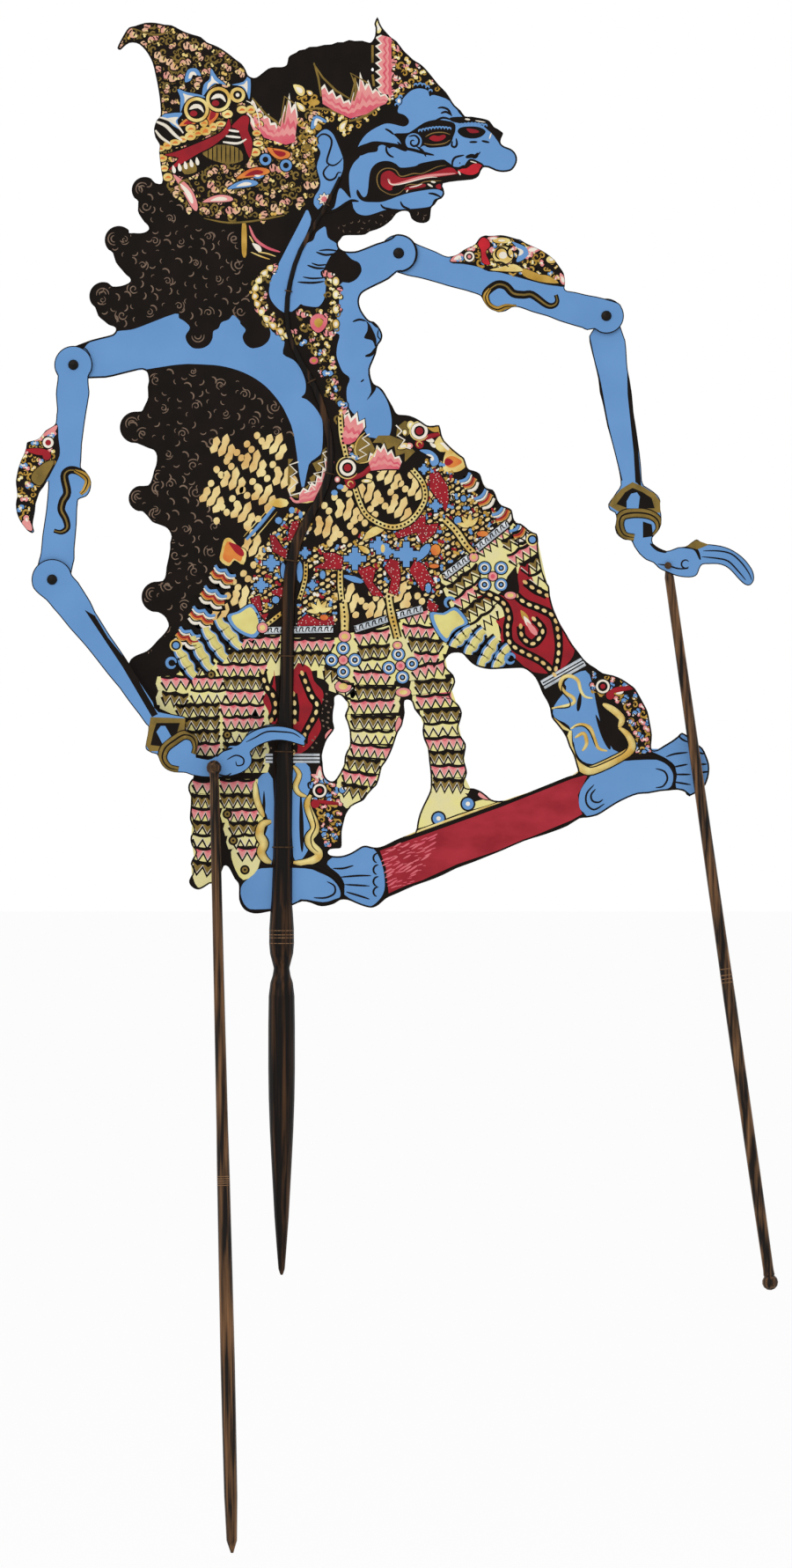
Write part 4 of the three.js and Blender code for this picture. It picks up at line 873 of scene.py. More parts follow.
# The crown. A tall crescent of gold scroll work behind the head, set with pink, cream and blue flowers,
# over an ornament in the shape of a head with open jaws that looks back. All is paint and gold leaf.
OLIVE = mottled("olive_gold_leaf", "6f5c2a", "8a7033", 120, rough=0.42, metal=0.25)
GOLD = mottled("pale_gold_leaf", "efdf96", "d3a94e", 70, rough=0.4, metal=0.15)
OLD_GOLD = mottled("deep_gold_leaf", "a9812c", "c9a04a", 90, rough=0.4, metal=0.25)
ORANGE = mottled("orange_paint", "e08a3c", "d4652f", 80, rough=0.5)
ROSE = mottled("rose_paint", "d65568", "e07a80", 80, rough=0.5)
top_lift = 0.18
CLOUD = path(-2.6, 0, -1.4, 1.5, 0, 0.8, 1.5, 1.7, 2.7, 0.2, 1.2, -1.2, 0.2, -0.6, -1.2, -1.6)


def dot(x, z, wide, high=None, count=8):
    """An oval around a point."""
    turns = [math.tau * i / count for i in range(count)]
    return [(x + wide / 2 * math.cos(a), z + (high or wide) / 2 * math.sin(a)) for a in turns]


def rings(spots, *layers, lift=0.12):
    """Rounds laid one on the other at every spot, as (finish, width), the widest first."""
    return [(finish, lift + 0.02 * i, [dot(*spot, wide) for spot in spots])
            for i, (finish, wide) in enumerate(layers)]


def leaf(tip, end, width, bend=0.0):
    """A pointed leaf between two points, bent to its left side by so many millimetres."""
    way = Vector((end[0] - tip[0], end[1] - tip[1]))
    side = Vector((-way.y, way.x)).normalized()
    half = path(0, 0, 0.3, 0.36, 0.62, 0.5, 0.9, 0.34)
    ring = half + [(1.0, 0)] + [(t, -h) for t, h in reversed(half[1:])]
    return [tuple(Vector(tip) + way * t + side * (width * h + 4 * bend * t * (1 - t))) for t, h in ring]


def rimmed(finish, shapes, lift=0.12, rim=0.6):
    """Shapes in one colour on a slightly larger black ground."""
    return [(INK, lift - 0.015, [inset(shape, -rim) for shape in shapes]), (finish, lift, shapes)]


def shaded(outer, inner, shapes, lift=0.12, share=0.55):
    """Shapes in two tones with a black rim: the edge in one tone, and a smaller copy inside in the other."""
    small = []
    for shape in shapes:
        mid = [sum(p[n] for p in shape) / len(shape) for n in (0, 1)]
        small.append([(mid[0] + (x - mid[0]) * share, mid[1] + (z - mid[1]) * share) for x, z in shape])
    return [*rimmed(outer, shapes, lift), (inner, lift + 0.02, small)]


def scroll_work(name, ground, finish, node="body_hide", gap=4.3):
    """Fills a ground with small open scrolls, each with a short leaf beside it."""
    turns = [((0.7 + 0.3 * t) * math.cos(0.95 * t), (0.7 + 0.3 * t) * math.sin(0.95 * t)) for t in range(8)]
    mark = stamp(0.09, lines=[turns, [(2, -2.5), (3.4, -0.6)]], width=1.35)
    fill(name, finish, SCATTER, flat(ground), mark, node, Gap=gap * MM, Smallest=0.6, Largest=1.15,
         Turn=FULL_TURN, Seed=21)


def flowers(name, ground, gap, seed, *layers, node="body_hide", lift=0.1):
    """Many small clouds of paint, one coat on the other at the same places, each as (finish, size)."""
    large = layers[0][1] > 1.5
    slips = ((0, 0), (0.4, 0.3), (3, 1.6)) if large else ((0, 0),) * 3
    marks = [(finish, stamp(lift + 0.013 * i, shapes=[[(x * size + dx, z * size + dz) for x, z in CLOUD]]))
             for i, ((finish, size), (dx, dz)) in enumerate(zip(layers, slips))]
    if large:
        ticks = [[(-3, 2), (-2, -0.4)], [(-0.6, 1.8), (0.2, -1)], [(2, 3), (3.4, 0.4)]]
        marks.append((INK, stamp(lift + 0.013 * len(layers), lines=ticks, width=0.9)))
    for i, (finish, mark) in enumerate(marks):
        fill(f"{name}_{i + 1}", finish, SCATTER, flat(ground), mark, node, Gap=gap * MM, Smallest=0.6,
             Largest=1.2, Turn=FULL_TURN, Seed=seed)


CROWN = [
    path(-110, 838, -103, 848, -94, 852, -80, 851, -66, 846, -33, 829, -25, 820, -40, 812, -60, 806,
        -72, 796, -76, 788, -84, 788, -84, 812, -88, 828, -96, 838, -104, 842),
    path(-84, 790, -68, 786, -50, 790, -24, 798, -14, 778, -10, 768, 4, 768, 10, 786, 24, 792, 22, 776,
        22, 738, 10, 728, 0, 724, -16, 721, -36, 720, -56, 724, -68, 732, -78, 745, -84, 760)]
scroll_work("crown_scrolls", CROWN, OLIVE, gap=3.8)
flowers("crown_buds", CROWN, 8.4, 8, (INK, 1.1), (GOLD, 0.72))
flowers("crown_clouds", CROWN, 8.6, 5, (INK, 2.1), (SHELL, 1.6), (CREAM, 0.75), lift=0.11)
paint("crown_leaves", [
    *shaded(BLUE, WHITE, [
        path(-71, 808, -65, 806, -55, 804, -52, 802, -60, 803, -66, 799, -69, 792, -69, 802),
        path(-48, 822, -44, 816, -38, 811, -44, 812, -49, 809, -54, 803, -53, 811, -49, 815),
        path(-22, 818, -26, 813, -34, 811, -28, 810, -24, 806, -22, 801, -21, 810),
        path(-84, 790, -68, 792, -71, 787, -70, 783, -68, 780, -74, 783, -78, 787),
        path(-66, 813, -64, 821, -58, 822, -55, 817, -60, 818, -62, 814),
        leaf((-37, 740), (-16, 744), 5, 1.3), leaf((-22, 752), (-12, 749), 3, -2)], lift=0.16, share=0.5),
    *shaded(ORANGE, RED, [leaf((-51, 783), (-45, 797), 7, -1), leaf((-31, 747), (-8, 752), 6, 1.6),
        leaf((-10, 768), (6, 763), 7, -1.6), leaf((-70, 783), (-58, 786), 5, 1)], lift=0.16),
    *shaded(PINK, WHITE, [leaf((-74, 750), (-58, 725), 6, 2), leaf((-54, 731), (-33, 733), 5, 1.4),
        leaf((-26, 797), (-17, 778), 4, 1)], lift=0.16),
    (INK, 0.15, [
        path(-77, 757, -58, 764, -42, 774, -34, 784, -36, 794, -33, 804, -28, 792, -19, 786, -20, 766,
            -26, 756, -44, 758, -62, 748, -72, 750),
        path(-87, 785, -72, 790, -63, 778, -67, 769, -84, 770)]),
    (OLIVE, 0.17, [path(-54, 765, -44, 770, -30, 768, -26, 760, -36, 757, -48, 760),
        path(-68, 756, -60, 758, -58, 752, -66, 750)])])
gums = [(-83 + 5.2 * k, 767.5 + 2.1 * k) for k in range(9)] + path(-27, 794, -21, 794, -16.5, 790,
    -15.5, 784, -17, 778, -16, 771, -18, 765, -81.5, 761, -80, 754, -77.5, 748, -53, 785, -62, 781, -52, 779,
    -37, 791)
eyes = [(-58, 794), (-43, 801)]
paint("crown_jaws", [
    *rimmed(GOLD, [dot(x, z, 6.6 + math.sin(3 * x), 4.8 + math.sin(2 * x), 7) for x, z in gums], lift=0.18),
    (ORANGE, 0.2, [leaf((x - 2, z - 1), (x + 2, z - 0.4), 1.6, 0.8) for x, z in gums]),
    *rings(eyes, (INK, 18.6), (GOLD, 17), (INK, 12.6), lift=0.19),
    *rings([(-30, 804)], (INK, 12), (GOLD, 10.4), (INK, 6), (WHITE, 2.6), lift=0.19),
    *rings([(-11, 760), (3, 756)], (INK, 9.6), (BLUE, 8), (INK, 4), lift=0.18),
    (WHITE, 0.25,
        [[(x - 5, z), (x - 2, z + 3.6), (x + 3, z + 3), (x + 5, z - 2), (x + 1, z + 1)] for x, z in eyes]),
    (RED, 0.25, [dot(x - 2, z - 2.6, 5, 4) for x, z in eyes]),
    *rimmed(RED, [
        path(-80, 763, -70, 766, -46, 776, -39, 781, -36, 788, -35, 780, -42, 773, -49, 768, -57, 764,
            -70, 756, -77, 753, -70, 761),
        path(-34, 782, -31, 786, -26, 790, -22, 788, -23, 780, -20, 772, -22, 761, -29, 779)], lift=0.21,
        rim=0.9),
    (WHITE, 0.22, [
        leaf((x, 740.5 + 0.34 * (x + 120)), (x + 1, 735 + 0.34 * (x + 120)), 2.6)
        for x in range(-74, -54, 4)])])
brush("crown_teeth", WHITE, 0.23, 2.4, [path(-86, 786, -79, 783, -73, 777, -68, 773),
    [0.7, (-84, 789), (-77, 787), (-71, 783), (-67, 778)], [0.8, (-86, 780), (-82, 775), (-76, 771)],
    [0.7, (-40, 772), (-30, 771), (-24, 774)], [0.7, (-38, 776), (-28, 775)], [0.7, (-36, 780), (-29, 779)],
    [0.4, (-24, 800), (-19, 797), (-16, 790), (-15, 782)]], blunt=0.6)
brush("crown_stripes", INK, 0.2, 0.8, [[(-50 + 3 * k, 758), (-50 + 3 * k, 770)] for k in range(9)])
brush("crown_lines", OLIVE, top_lift, 1.4, [path(-100, 849, -92, 846, -84, 845, -74, 848),
    arc((-66, 742), 3.8, 0, 300, 8), path(-53, 720, -37, 717, -20, 718, 2, 722)])


# The diadem. Rows of pink flames with white tips and a dark gold outline run round the hair from the nape
# to the brow, with small flowers below them and a stack of teeth over a filigree plate at the front.
def spot_along(line, share):
    """The spot at a share of a broken line's length."""
    sides = [math.dist(a, b) for a, b in zip(line, line[1:])]
    left = share * sum(sides)
    for a, b, side in zip(line, line[1:], sides):
        if left <= side or b is line[-1]:
            return Vector(a).lerp(Vector(b), min(left / side, 1))
        left -= side


def flame_rows(ridge, foot, teeth, tall, lift=0.13):
    """Coats of saw-toothed flames from a ridge to a foot line: a white edge, then pink and rose by turns."""
    coats = []
    for finish, share in ((WHITE, 0), (PINK, 0.16), (ROSE, 0.45), (PINK, 0.6), (ROSE, 0.78)):
        top = []
        for i in range(2 * teeth + 1):
            reach = share - tall * (1 - share) * (i % 2)
            place = i / (2 * teeth)
            top.append(tuple(spot_along(ridge, place).lerp(spot_along(foot, place), reach)))
        coats.append((finish, lift + 0.015 * len(coats), [top + foot[::-1]]))
    return [(INK, lift - 0.015, [inset(coats[0][2][0], -0.9)]), *coats]


diadem_band = path(-24, 760, -10, 776, 4, 770, 12, 774, 24, 792, 36, 794, 46, 788, 72, 803, 72, 798, 60, 788,
    44, 777, 34, 786, 24, 780, 22, 758, 8, 756, -6, 770)
front_plate = path(74, 842, 80, 841, 92, 836, 103, 827, 110, 813, 106, 808, 98, 813, 86, 811, 78, 803,
    72, 806, 74, 826)
scroll_work("diadem_scrolls", [diadem_band, front_plate, path(6, 812, 20, 806, 24, 798, 14, 794)], OLD_GOLD)
flowers("diadem_buds", [diadem_band, front_plate], 5.6, 4, (INK, 1.3), (GOLD, 1), (WHITE, 0.4))
flowers("diadem_clouds", [front_plate], 8, 2, (INK, 1.7), (PINK, 1.4), (WHITE, 0.6), lift=0.11)
DIADEM_FLAMES = [
    (path(-21, 799, -3.5, 781, 5, 797, 11, 790), path(-18, 784, -12, 775, 3, 770, 9, 772), 8, 0.34),
    (path(27, 809, 33, 805, 46.5, 797, 54, 811.5, 63, 806, 73, 801.5),
        path(28, 798, 36, 793, 47, 788, 58, 791, 66, 796, 71, 798), 10, 0.4),
    ([(67.5, 845), (67.5, 805)], [(75, 843), (75, 804)], 7, 0.5)]
for place, flames in enumerate(DIADEM_FLAMES):
    paint(f"diadem_flames_{place + 1}", flame_rows(*flames), sharp=True)
brush("diadem_outline", OLIVE, line_lift, 1.7, [path(-20, 802, -11, 791, -4, 786, -1, 783, 2, 803, 9, 798),
    [(1, 783), (4, 800)], path(22, 826, 25, 816, 27, 803),
    path(22, 825, 28, 816, 37, 807, 47, 801, 50, 812, 47, 819, 59, 812),
    [1.3, (50, 816), (51, 808), (49, 800)], [1.6, (62, 838), (62, 826)], [1.6, (62, 818), (63, 810)],
    path(16, 794, 24, 795, 32, 794, 44, 790), [1.2, (46, 786), (53, 788), (61, 792), (70, 800)]],
    smoothed=False, blunt=0.6)
star_reach = [4.4 - 1.6 * (i % 2) for i in range(16)]
star = [(29 + reach * math.cos(i * math.tau / 16), 733 + reach * math.sin(i * math.tau / 16))
        for i, reach in enumerate(star_reach)]
paint("diadem_leaves", [
    *shaded(GOLD, WHITE, [leaf((8, 811), (15, 804), 6, 0.6), leaf((17, 807), (21, 804), 3.4),
        leaf((10, 799), (16, 793), 4), leaf((66, 856), (66, 846), 4.4),
        leaf((45, 787), (40, 779), 4, -0.8)]),
    *shaded(BLUE, WHITE, [path(20, 781, 21, 788, 24, 790, 30, 787, 30, 785, 25, 787, 23, 782),
        dot(62, 797, 4, 4), leaf((48, 788), (50, 793), 4), dot(80, 800, 3.6, 5)], lift=0.14),
    (OLD_GOLD, 0.13, [dot(22, 799, 8, 4.4), dot(14, 784, 6, 3.6), dot(25, 782, 4.6, 4.4)]),
    *shaded(WHITE, ROSE, [star], share=0.6)])


# The collar and shoulder strap. A gold leaf collar with flowers lies round the neck, and a flowered strap
# runs from it down to the waist. Both are painted on the black of the back hair.
COLLAR = [
    path(-4, 688, -14, 681, -20, 672, -18, 662, -12, 650, -4, 642, 6, 636, 14, 640, -4, 654, -10, 664,
        -10, 674),
    path(20, 636, 34, 634, 38, 646, 40, 660, 38, 676, 30, 684, 32, 672, 30, 660, 22, 655, 12, 656),
    path(14, 636, 22, 626, 38, 584, 44, 560, 50, 560, 44, 588, 38, 606, 34, 626, 28, 634)]
scroll_work("collar_scrolls", COLLAR, OLIVE)
flowers("collar_buds", COLLAR, 5.4, 9, (INK, 1.25), (GOLD, 0.95), (WHITE, 0.4))
flowers("collar_clouds", COLLAR, 10, 6, (INK, 1.6), (PINK, 1.3), (WHITE, 0.5), lift=0.11)
flowers("collar_stars", COLLAR[2:], 11, 2, (INK, 1.5), (BLUE, 1.2), (WHITE, 0.5), lift=0.12)
collar_rim = smooth(path(-6, 688, -14, 681, -19, 670, -16, 659, -9, 649, 1, 641, 8, 638), closed=False,
    steps=2)
paint("collar_flowers", [
    *shaded(GOLD, WHITE, [leaf(a, b, 4.6, 0.6) for a, b in zip(collar_rim, collar_rim[1:])], lift=0.14),
    *shaded(GOLD, WHITE, [dot(37, z, 4.4, 6) for z in (677, 668, 658, 648)], lift=0.14),
    *shaded(ROSE, OLD_GOLD, [path(20, 652, 25, 655, 31, 652, 30, 646, 25, 642, 20, 646), dot(22, 623, 6, 5)],
        share=0.5, lift=0.14),
    *rimmed(OLD_GOLD, [path(-27, 696, -24, 695, -24, 715, -27, 716)]),
    (WHITE, 0.14, [leaf((-20, 703), (-14, 697), 3.6, 0.5)])])
brush("pendant", ROSE, top_lift, 2.0, [path(-22, 715, -18, 706, -10, 700, -1, 697)])
brush("pendant_ribs", GOLD, top_lift, 1.0,
    [[(-22, 708), (-19, 703)], path(-16, 697, -10, 696, -4, 694), path(-21, 697, -14, 694, -8, 692)])


# The waist. A V-shaped band of zigzags and flames holds the skirt up, and ends at each hip in a small head
# with a round eye, a red mouth and a curled lip, worked in gold, pink and blue.
def zigzag(start, end, teeth, height):
    """Points of a row of sharp teeth between two points, standing out to its left side."""
    way = Vector((end[0] - start[0], end[1] - start[1]))
    side = Vector((-way.y, way.x)).normalized() * height
    return [tuple(Vector(start) + way * (i / (2 * teeth)) + side * (i % 2)) for i in range(2 * teeth + 1)]


paint("waist_zigzags", [
    (OLIVE, 0.09, [path(4.5, 556, 8, 556, 5, 552, 9.5, 548, 5.5, 544, 10, 540, 5, 536, 4, 540, 4.5, 548),
        path(33, 566, 28, 562, 27, 556, 21, 553, 24, 547, 19, 543, 20, 540, 14.5, 535, 16, 532, 23, 536,
            21, 540, 28, 543, 24, 547, 31, 550, 27, 554, 33, 557),
        path(5, 533, 13, 532, 14, 529, 8, 530),
        path(52, 573, 49, 565, 49, 557, 52, 553, 60, 555, 64, 562, 60, 570),
        path(62, 567, 68, 567, 71, 562, 77, 565, 78, 558, 84, 560, 84, 554, 91, 561, 84, 568, 74, 572,
            66, 572),
        path(78, 571, 83, 574, 84, 571, 89, 574, 92, 571, 91, 579, 84, 582, 79, 578)]),
    (GOLD, 0.12, [leaf((-9.6, 526), (5, 526), 6.6), leaf((13, 526), (26, 531), 3, -0.8)]),
    (BLUE, 0.12, [dot(7, 521, 4, 4.6), dot(36, 533, 4.6, 4), dot(40, 537, 5, 3.4), dot(13, 518, 3, 5)])],
    sharp=True)
WAIST_FLAMES = [
    (path(12, 532, 21, 536, 29, 546, 33, 562), path(12, 526.5, 22, 527.5, 33, 540, 36, 554), 6, 0.5),
    (path(42, 585, 50, 583, 57, 578), path(41, 566, 46, 566, 50, 568), 3, 0.3),
    (path(59, 555, 68, 563, 82, 554), path(61, 548, 70, 549, 80, 549), 5, 0.4)]
for place, flames in enumerate(WAIST_FLAMES):
    paint(f"waist_flames_{place + 1}", flame_rows(*flames), sharp=True)
brush("waist_white_teeth", WHITE, line_lift, 1.2, [
    path(11.5, 554, 5.5, 552, 10.5, 547, 6, 544, 11, 540, 5, 535, 6, 531, 13, 533),
    path(33, 562, 28, 560, 32, 555, 25, 553, 31, 548, 22, 546, 28, 541, 18, 540, 23, 535, 15.5, 533),
    path(60, 573, 55, 570, 60, 566, 53, 562, 58, 559, 52, 556),
    path(78, 579, 82, 575, 79, 572, 84, 569, 81, 565, 88, 563)], smoothed=False, blunt=0.8)
brush("waist_arc", PINK, line_lift, 2.0, [path(6, 530, 9, 527, 13, 527, 18, 528, 20, 530)], blunt=0.7)
paint("waist_heads", [*rings([(45, 550), (94, 575)], (INK, 13.6), (WHITE, 11.4), (INK, 7.4), (RED, 5)),
    (RED, 0.13, [dot(47, 539, 7, 6.4), dot(94, 566, 6, 6)]),
    *shaded(GOLD, WHITE,
        [dot(88, 579, 5, 6), dot(58, 541, 7, 2.6), leaf((79, 563), (86, 566), 4), dot(84, 574, 3, 4)]),
    (GOLD, 0.1, [path(107, 571, 104, 566, 108, 561, 115, 561, 121, 558, 110, 570),
        path(110, 549, 112, 561, 118, 561, 125, 557, 126, 552, 122, 548, 116, 547)]),
    (OLD_GOLD, 0.12, [leaf((99, 578), (108, 576), 5)]), (ORANGE, 0.13, [leaf((123, 554), (111, 554), 8)]),
    (RED, 0.16, [leaf((117, 554), (111, 554), 5)]),
    (WHITE, 0.14, [leaf((97, 570), (104, 568), 3), leaf((101, 567), (105, 564), 2.4),
        leaf((108, 567), (114, 562), 3, 1)]),
    *shaded(BLUE, WHITE,
        [path(94, 562, 101, 562, 106, 558, 107, 553, 103, 551, 101, 555, 103, 557, 99, 559)], share=0.4),
    *shaded(PINK, WHITE, [dot(87, 565, 5, 4), dot(38, 542, 3.6, 4)])])
brush("waist_mouths", RED, 0.14, 3.4,
    [path(72, 552, 62, 551, 56, 546, 49, 543, 43, 541), path(92, 568, 100, 571, 108, 573)], blunt=0.6)
brush("waist_rings", GOLD, line_lift, 0.9, [arc((45, 550), 7.4, 30, 330), arc((94, 575), 6.4, 30, 330),
    arc((47, 539), 1.8, 0, 260, 6), arc((94, 566), 1.7, 0, 260, 6), path(52, 557, 50, 562, 52, 569, 57, 574),
    path(53, 553, 60, 555, 66, 565)])


# The patched skirt. Between the printed panels lie red patches dotted with white, blue crosses, gold
# chains with black beads, silver hem bands and strings of small stones; rosettes close the chains.
RED_PATCHES = [path(4, 500, 10, 502, 12, 514, 7, 513, 5, 507),
    path(-8, 504, -5, 504, 1, 495, 4, 494, 3, 488, -6, 493),
    path(30, 481, 22, 482, 30, 486, 28, 492, 36, 492, 42, 489, 41, 481),
    path(101, 546, 107, 547, 113, 538, 114, 529, 112, 520, 101, 536),
    path(80, 502, 80, 508, 89, 511, 93, 518, 98, 517, 98, 511, 107, 512, 105, 506, 96, 498, 92, 506),
    path(52, 480, 60, 483, 64, 481, 62, 472, 70, 462, 62, 463, 57, 471),
    path(70, 482, 74, 488, 80, 486, 81, 475, 79, 463, 73, 465, 75, 474),
    path(87, 480, 91, 487, 97, 484, 105, 470, 96, 466, 91, 474),
    path(-21, 461, -15, 463, -13, 453, -19, 451), path(-7, 466, 1, 469, 1, 462, -5, 462),
    path(-17, 449, -9, 451, -12, 444), path(100, 460, 107, 456, 105, 450, 99, 454),
    path(11, 445, 17, 450, 26, 446, 35, 449, 36, 443, 11, 442)]


def cross(x, z, arm):
    """A stepped cross of four square arms."""
    half = 0.26 * arm
    quarter = [(arm, -half), (arm, half), (2 * half, half), (2 * half, 2 * half), (half, 2 * half),
        (half, arm)]
    turns = ((1, 0), (0, 1), (-1, 0), (0, -1))
    return [(x + p * c - q * s, z + p * s + q * c) for c, s in turns for p, q in quarter]


def fan(x, z, angles):
    """Leaves that point at a spot from all of the given angles."""
    return [leaf((x + 9 * math.cos(a), z + 9 * math.sin(a)), (x, z), 3.4) for a in angles]


STONES = [
    path(-18, 486, -10, 497, 0, 516, 12, 522, 22, 516, 14, 500, 8, 500, 12, 486, 2, 486, 0, 470, -4, 456,
        -20, 446, -20, 466),
    path(14, 482, 40, 478, 58, 480, 84, 486, 104, 484, 114, 500, 116, 548, 98, 554, 100, 540, 98, 522,
        86, 508, 62, 509, 42, 497, 22, 497),
    path(14, 440, 36, 444, 36, 466, 42, 480, 30, 482, 14, 466),
    path(104, 470, 112, 482, 150, 514, 144, 524, 134, 530, 120, 542, 114, 530, 110, 500),
    path(54, 486, 76, 488, 92, 488, 108, 480, 110, 470, 102, 456, 92, 472, 80, 462, 62, 462, 60, 480)]
fill("stone_strings", CREAM, ROWS, flat(STONES), stamp(0.08, shapes=[dot(0, 0, 3.7, 2.3, 7)]),
    Along=4.7 * MM, Across=3.6 * MM, Lean=math.radians(30), Slant=math.radians(35),
    Middle=Vector((50 * MM, 480 * MM, 0)), Count=64, Sway=0.3, Seed=3)
for finish, gap, seed in ((BLUE, 7, 3), (RED, 8, 7), (OLD_GOLD, 6, 9), (WHITE, 9, 1)):
    flowers("stones_" + finish.name, STONES, gap, seed, (INK, 1.1), (finish, 0.8), lift=0.09)
paint("red_patches", [*rimmed(RED, RED_PATCHES, lift=0.13, rim=0.8),
    *rimmed(BLUE, rim=0.9, shapes=[cross(85, 491, 8.6), cross(50, 488, 7.6), cross(66, 497, 6),
        cross(-7, 485, 5.6), cross(72, 493, 5), cross(-14, 470, 5), cross(97, 549, 3.6),
        cross(105, 524, 4.4), cross(16, 492, 4), cross(21, 470, 3.6), leaf((92, 486), (101, 498), 6),
        leaf((40, 477), (56, 472), 4), dot(12.4, 479, 4, 15), dot(1, 480, 3.4, 11), dot(-4, 460, 5, 5),
        dot(28, 477, 4, 6), dot(124, 529, 4, 4.4), dot(120, 514, 5, 6), dot(-2, 514, 5, 5),
        dot(100, 468, 4, 7)], lift=0.15),
    *rimmed(GOLD, [leaf((55, 500), (70, 509), 6, 1.6), leaf((52, 497), (60, 492), 4), dot(69, 495, 3, 6),
        *fan(26, 452, (0.3, 1, 1.7, 2.4, 3.1)), *fan(128, 510, (0.8, 1.5, 2.2, 2.9))], lift=0.15),
    *rimmed(ORANGE, [dot(105, 494, 7, 8), dot(137, 505, 8, 4), dot(29, 448, 6, 4), dot(104, 483, 7, 3)],
        lift=0.15)], sharp=True)
fill("red_patch_dots", WHITE, SCATTER, flat(RED_PATCHES),
    stamp(0.16, shapes=[dot(0, 0, 0.75, count=5)], sharp=True), Gap=1.35 * MM, Smallest=0.8, Largest=1.0,
    Turn=1.0, Seed=2)
CHAINS = [
    path(50, 536, 53, 527, 57, 519, 63, 514, 72, 510, 80, 510, 88, 514, 94, 521, 98, 530, 96, 540, 89, 549),
    path(40, 480, 40, 470, 41, 460), [1.6, (42, 458), (43, 449), (43, 439)],
    [1.25, (73, 462), (75, 450), (77, 442), (79, 434)],
    [1.2, (111, 515), (119, 507), (126, 497), (131, 492)], [0.8, (16.5, 485), (16, 474), (12, 460)],
    path(40, 585, 41, 572, 44, 558), [0.8, (-10, 443), (0, 451)]]
brush("chain_shade", INK, 0.16, 5.6, CHAINS, blunt=0.9)
brush("chain_bands", GOLD, 0.175, 3.6, CHAINS, blunt=0.9)
BEADED, given, group_out = new_tree("beads_along_a_line", [
    ("Mark", "Object", None), ("Step", "Float", 0.003), ("Finish", "Material", None)])
bead = add_node(BEADED, "GeometryNodeObjectInfo", {"Object": given["Mark"]})
string = add_node(BEADED, "GeometryNodeResampleCurve", {
    "Curve": given[0], "Length": given["Step"]}, mode="LENGTH")
heading = add_node(BEADED, "FunctionNodeAlignRotationToVector", {
    "Vector": add_node(BEADED, "GeometryNodeInputTangent").outputs[0]}, axis="X")
beads = add_node(BEADED, "GeometryNodeInstanceOnPoints", {
    "Points": string.outputs[0], "Instance": bead.outputs["Geometry"], "Rotation": heading.outputs[0]})
end_tree(BEADED, beads.outputs[0], given, group_out)
fill("chain_beads", INK, BEADED, as_curve(CHAINS), stamp(0.2, shapes=[dot(0, 0, 1.9, 1.7, 6)], sharp=True),
     Step=2.8 * MM)
SILVER = mottled("silver_grey_paint", "dfe3e6", "aab4be", 120, rough=0.35, metal=0.2)
HEMS = [[(-12, 439), (35, 440)], [(50, 440), (72, 447)], [(78, 449), (96, 454)], [(111, 476), (128, 489)],
        [(133, 495), (154, 512)], [0.8, (-21, 453), (-12, 443)]]
brush("hem_shade", INK, 0.13, 6.6, HEMS, smoothed=False, blunt=1.0)
brush("silver_hems", SILVER, 0.145, 4.6, HEMS, smoothed=False, blunt=1.0)
hem_wave = stamp(0.165, lines=[path(-1.7, -1.5, -0.7, 1.2, 0.9, 1.3, 0.5, -0.5, 1.7, -1.4)], width=0.9)
fill("hem_waves", INK, BEADED, as_curve(HEMS, smoothed=False), hem_wave, Step=4.2 * MM)
ROSETTES = [((42, 419), 0), ((144, 476), 45), ((81, 415), 10)]
petals = [(x + 8 * math.cos(math.radians(turn + 90 * k)), z + 8 * math.sin(math.radians(turn + 90 * k)))
          for (x, z), turn in ROSETTES for k in range(4)]
paint("hem_rosettes", [
    *rings(petals, (INK, 9.8), (BLUE, 8.2), (WHITE, 5.8), (INK, 4), (BLUE, 2), lift=0.15),
    *rings([spot for spot, _ in ROSETTES], (INK, 7.4), (PINK, 6), (ROSE, 3), lift=0.2),
    *shaded(PINK, GOLD, [dot(43, 435, 8, 7), dot(79, 429, 6, 5), dot(131, 489, 6, 6), dot(156, 463, 8, 5),
                         dot(-13, 441, 7, 7)], lift=0.2)])


# The scallops and bow cloths. Padded scallops, orange inside and blue between, run down both edges of the
# skirt, and two cream cloths edged with blue hang from the knots in wavy folds.
def wave(start, end, lobes, depth, shift=0.0):
    """A line that sags in round lobes between two points, moved to its right side by a shift."""
    way = Vector((end[0] - start[0], end[1] - start[1]))
    down = Vector((way.y, -way.x)).normalized()
    sags = [shift + depth * abs(math.sin(math.pi * k / 6)) for k in range(6 * lobes + 1)]
    return [tuple(Vector(start) + way * (k / (6 * lobes)) + down * sag) for k, sag in enumerate(sags)]


scallop_rows = [((-45, 484), (-31, 477), 2), ((-52, 470), (-37, 463), 2), ((-60, 456), (-45, 450), 2),
                ((-69, 442), (-55, 436), 2), ((121, 541), (128, 547), 1), ((131, 529), (139, 536), 1),
                ((143, 518), (151, 525), 1), ((155, 507), (162, 513), 1)]
for label, finish, lift, width, shift in (
        ("ground", INK, 0.1, 15, 5), ("bands", BLUE, 0.115, 2.6, 0.4), ("edges", WHITE, 0.115, 1.6, 2.2),
        ("pads", GOLD, 0.115, 4.6, 5.6), ("hearts", ORANGE, 0.13, 3, 5), ("cores", RED, 0.145, 1.4, 4.4),
        ("hems", WHITE, 0.115, 2.4, 9), ("lines", INK, 0.15, 0.8, 7.4)):
    brush("scallop_" + label, finish, lift, width,
        [wave(a, b, lobes, 2.0, shift) for a, b, lobes in scallop_rows], smoothed=False, blunt=0.75)
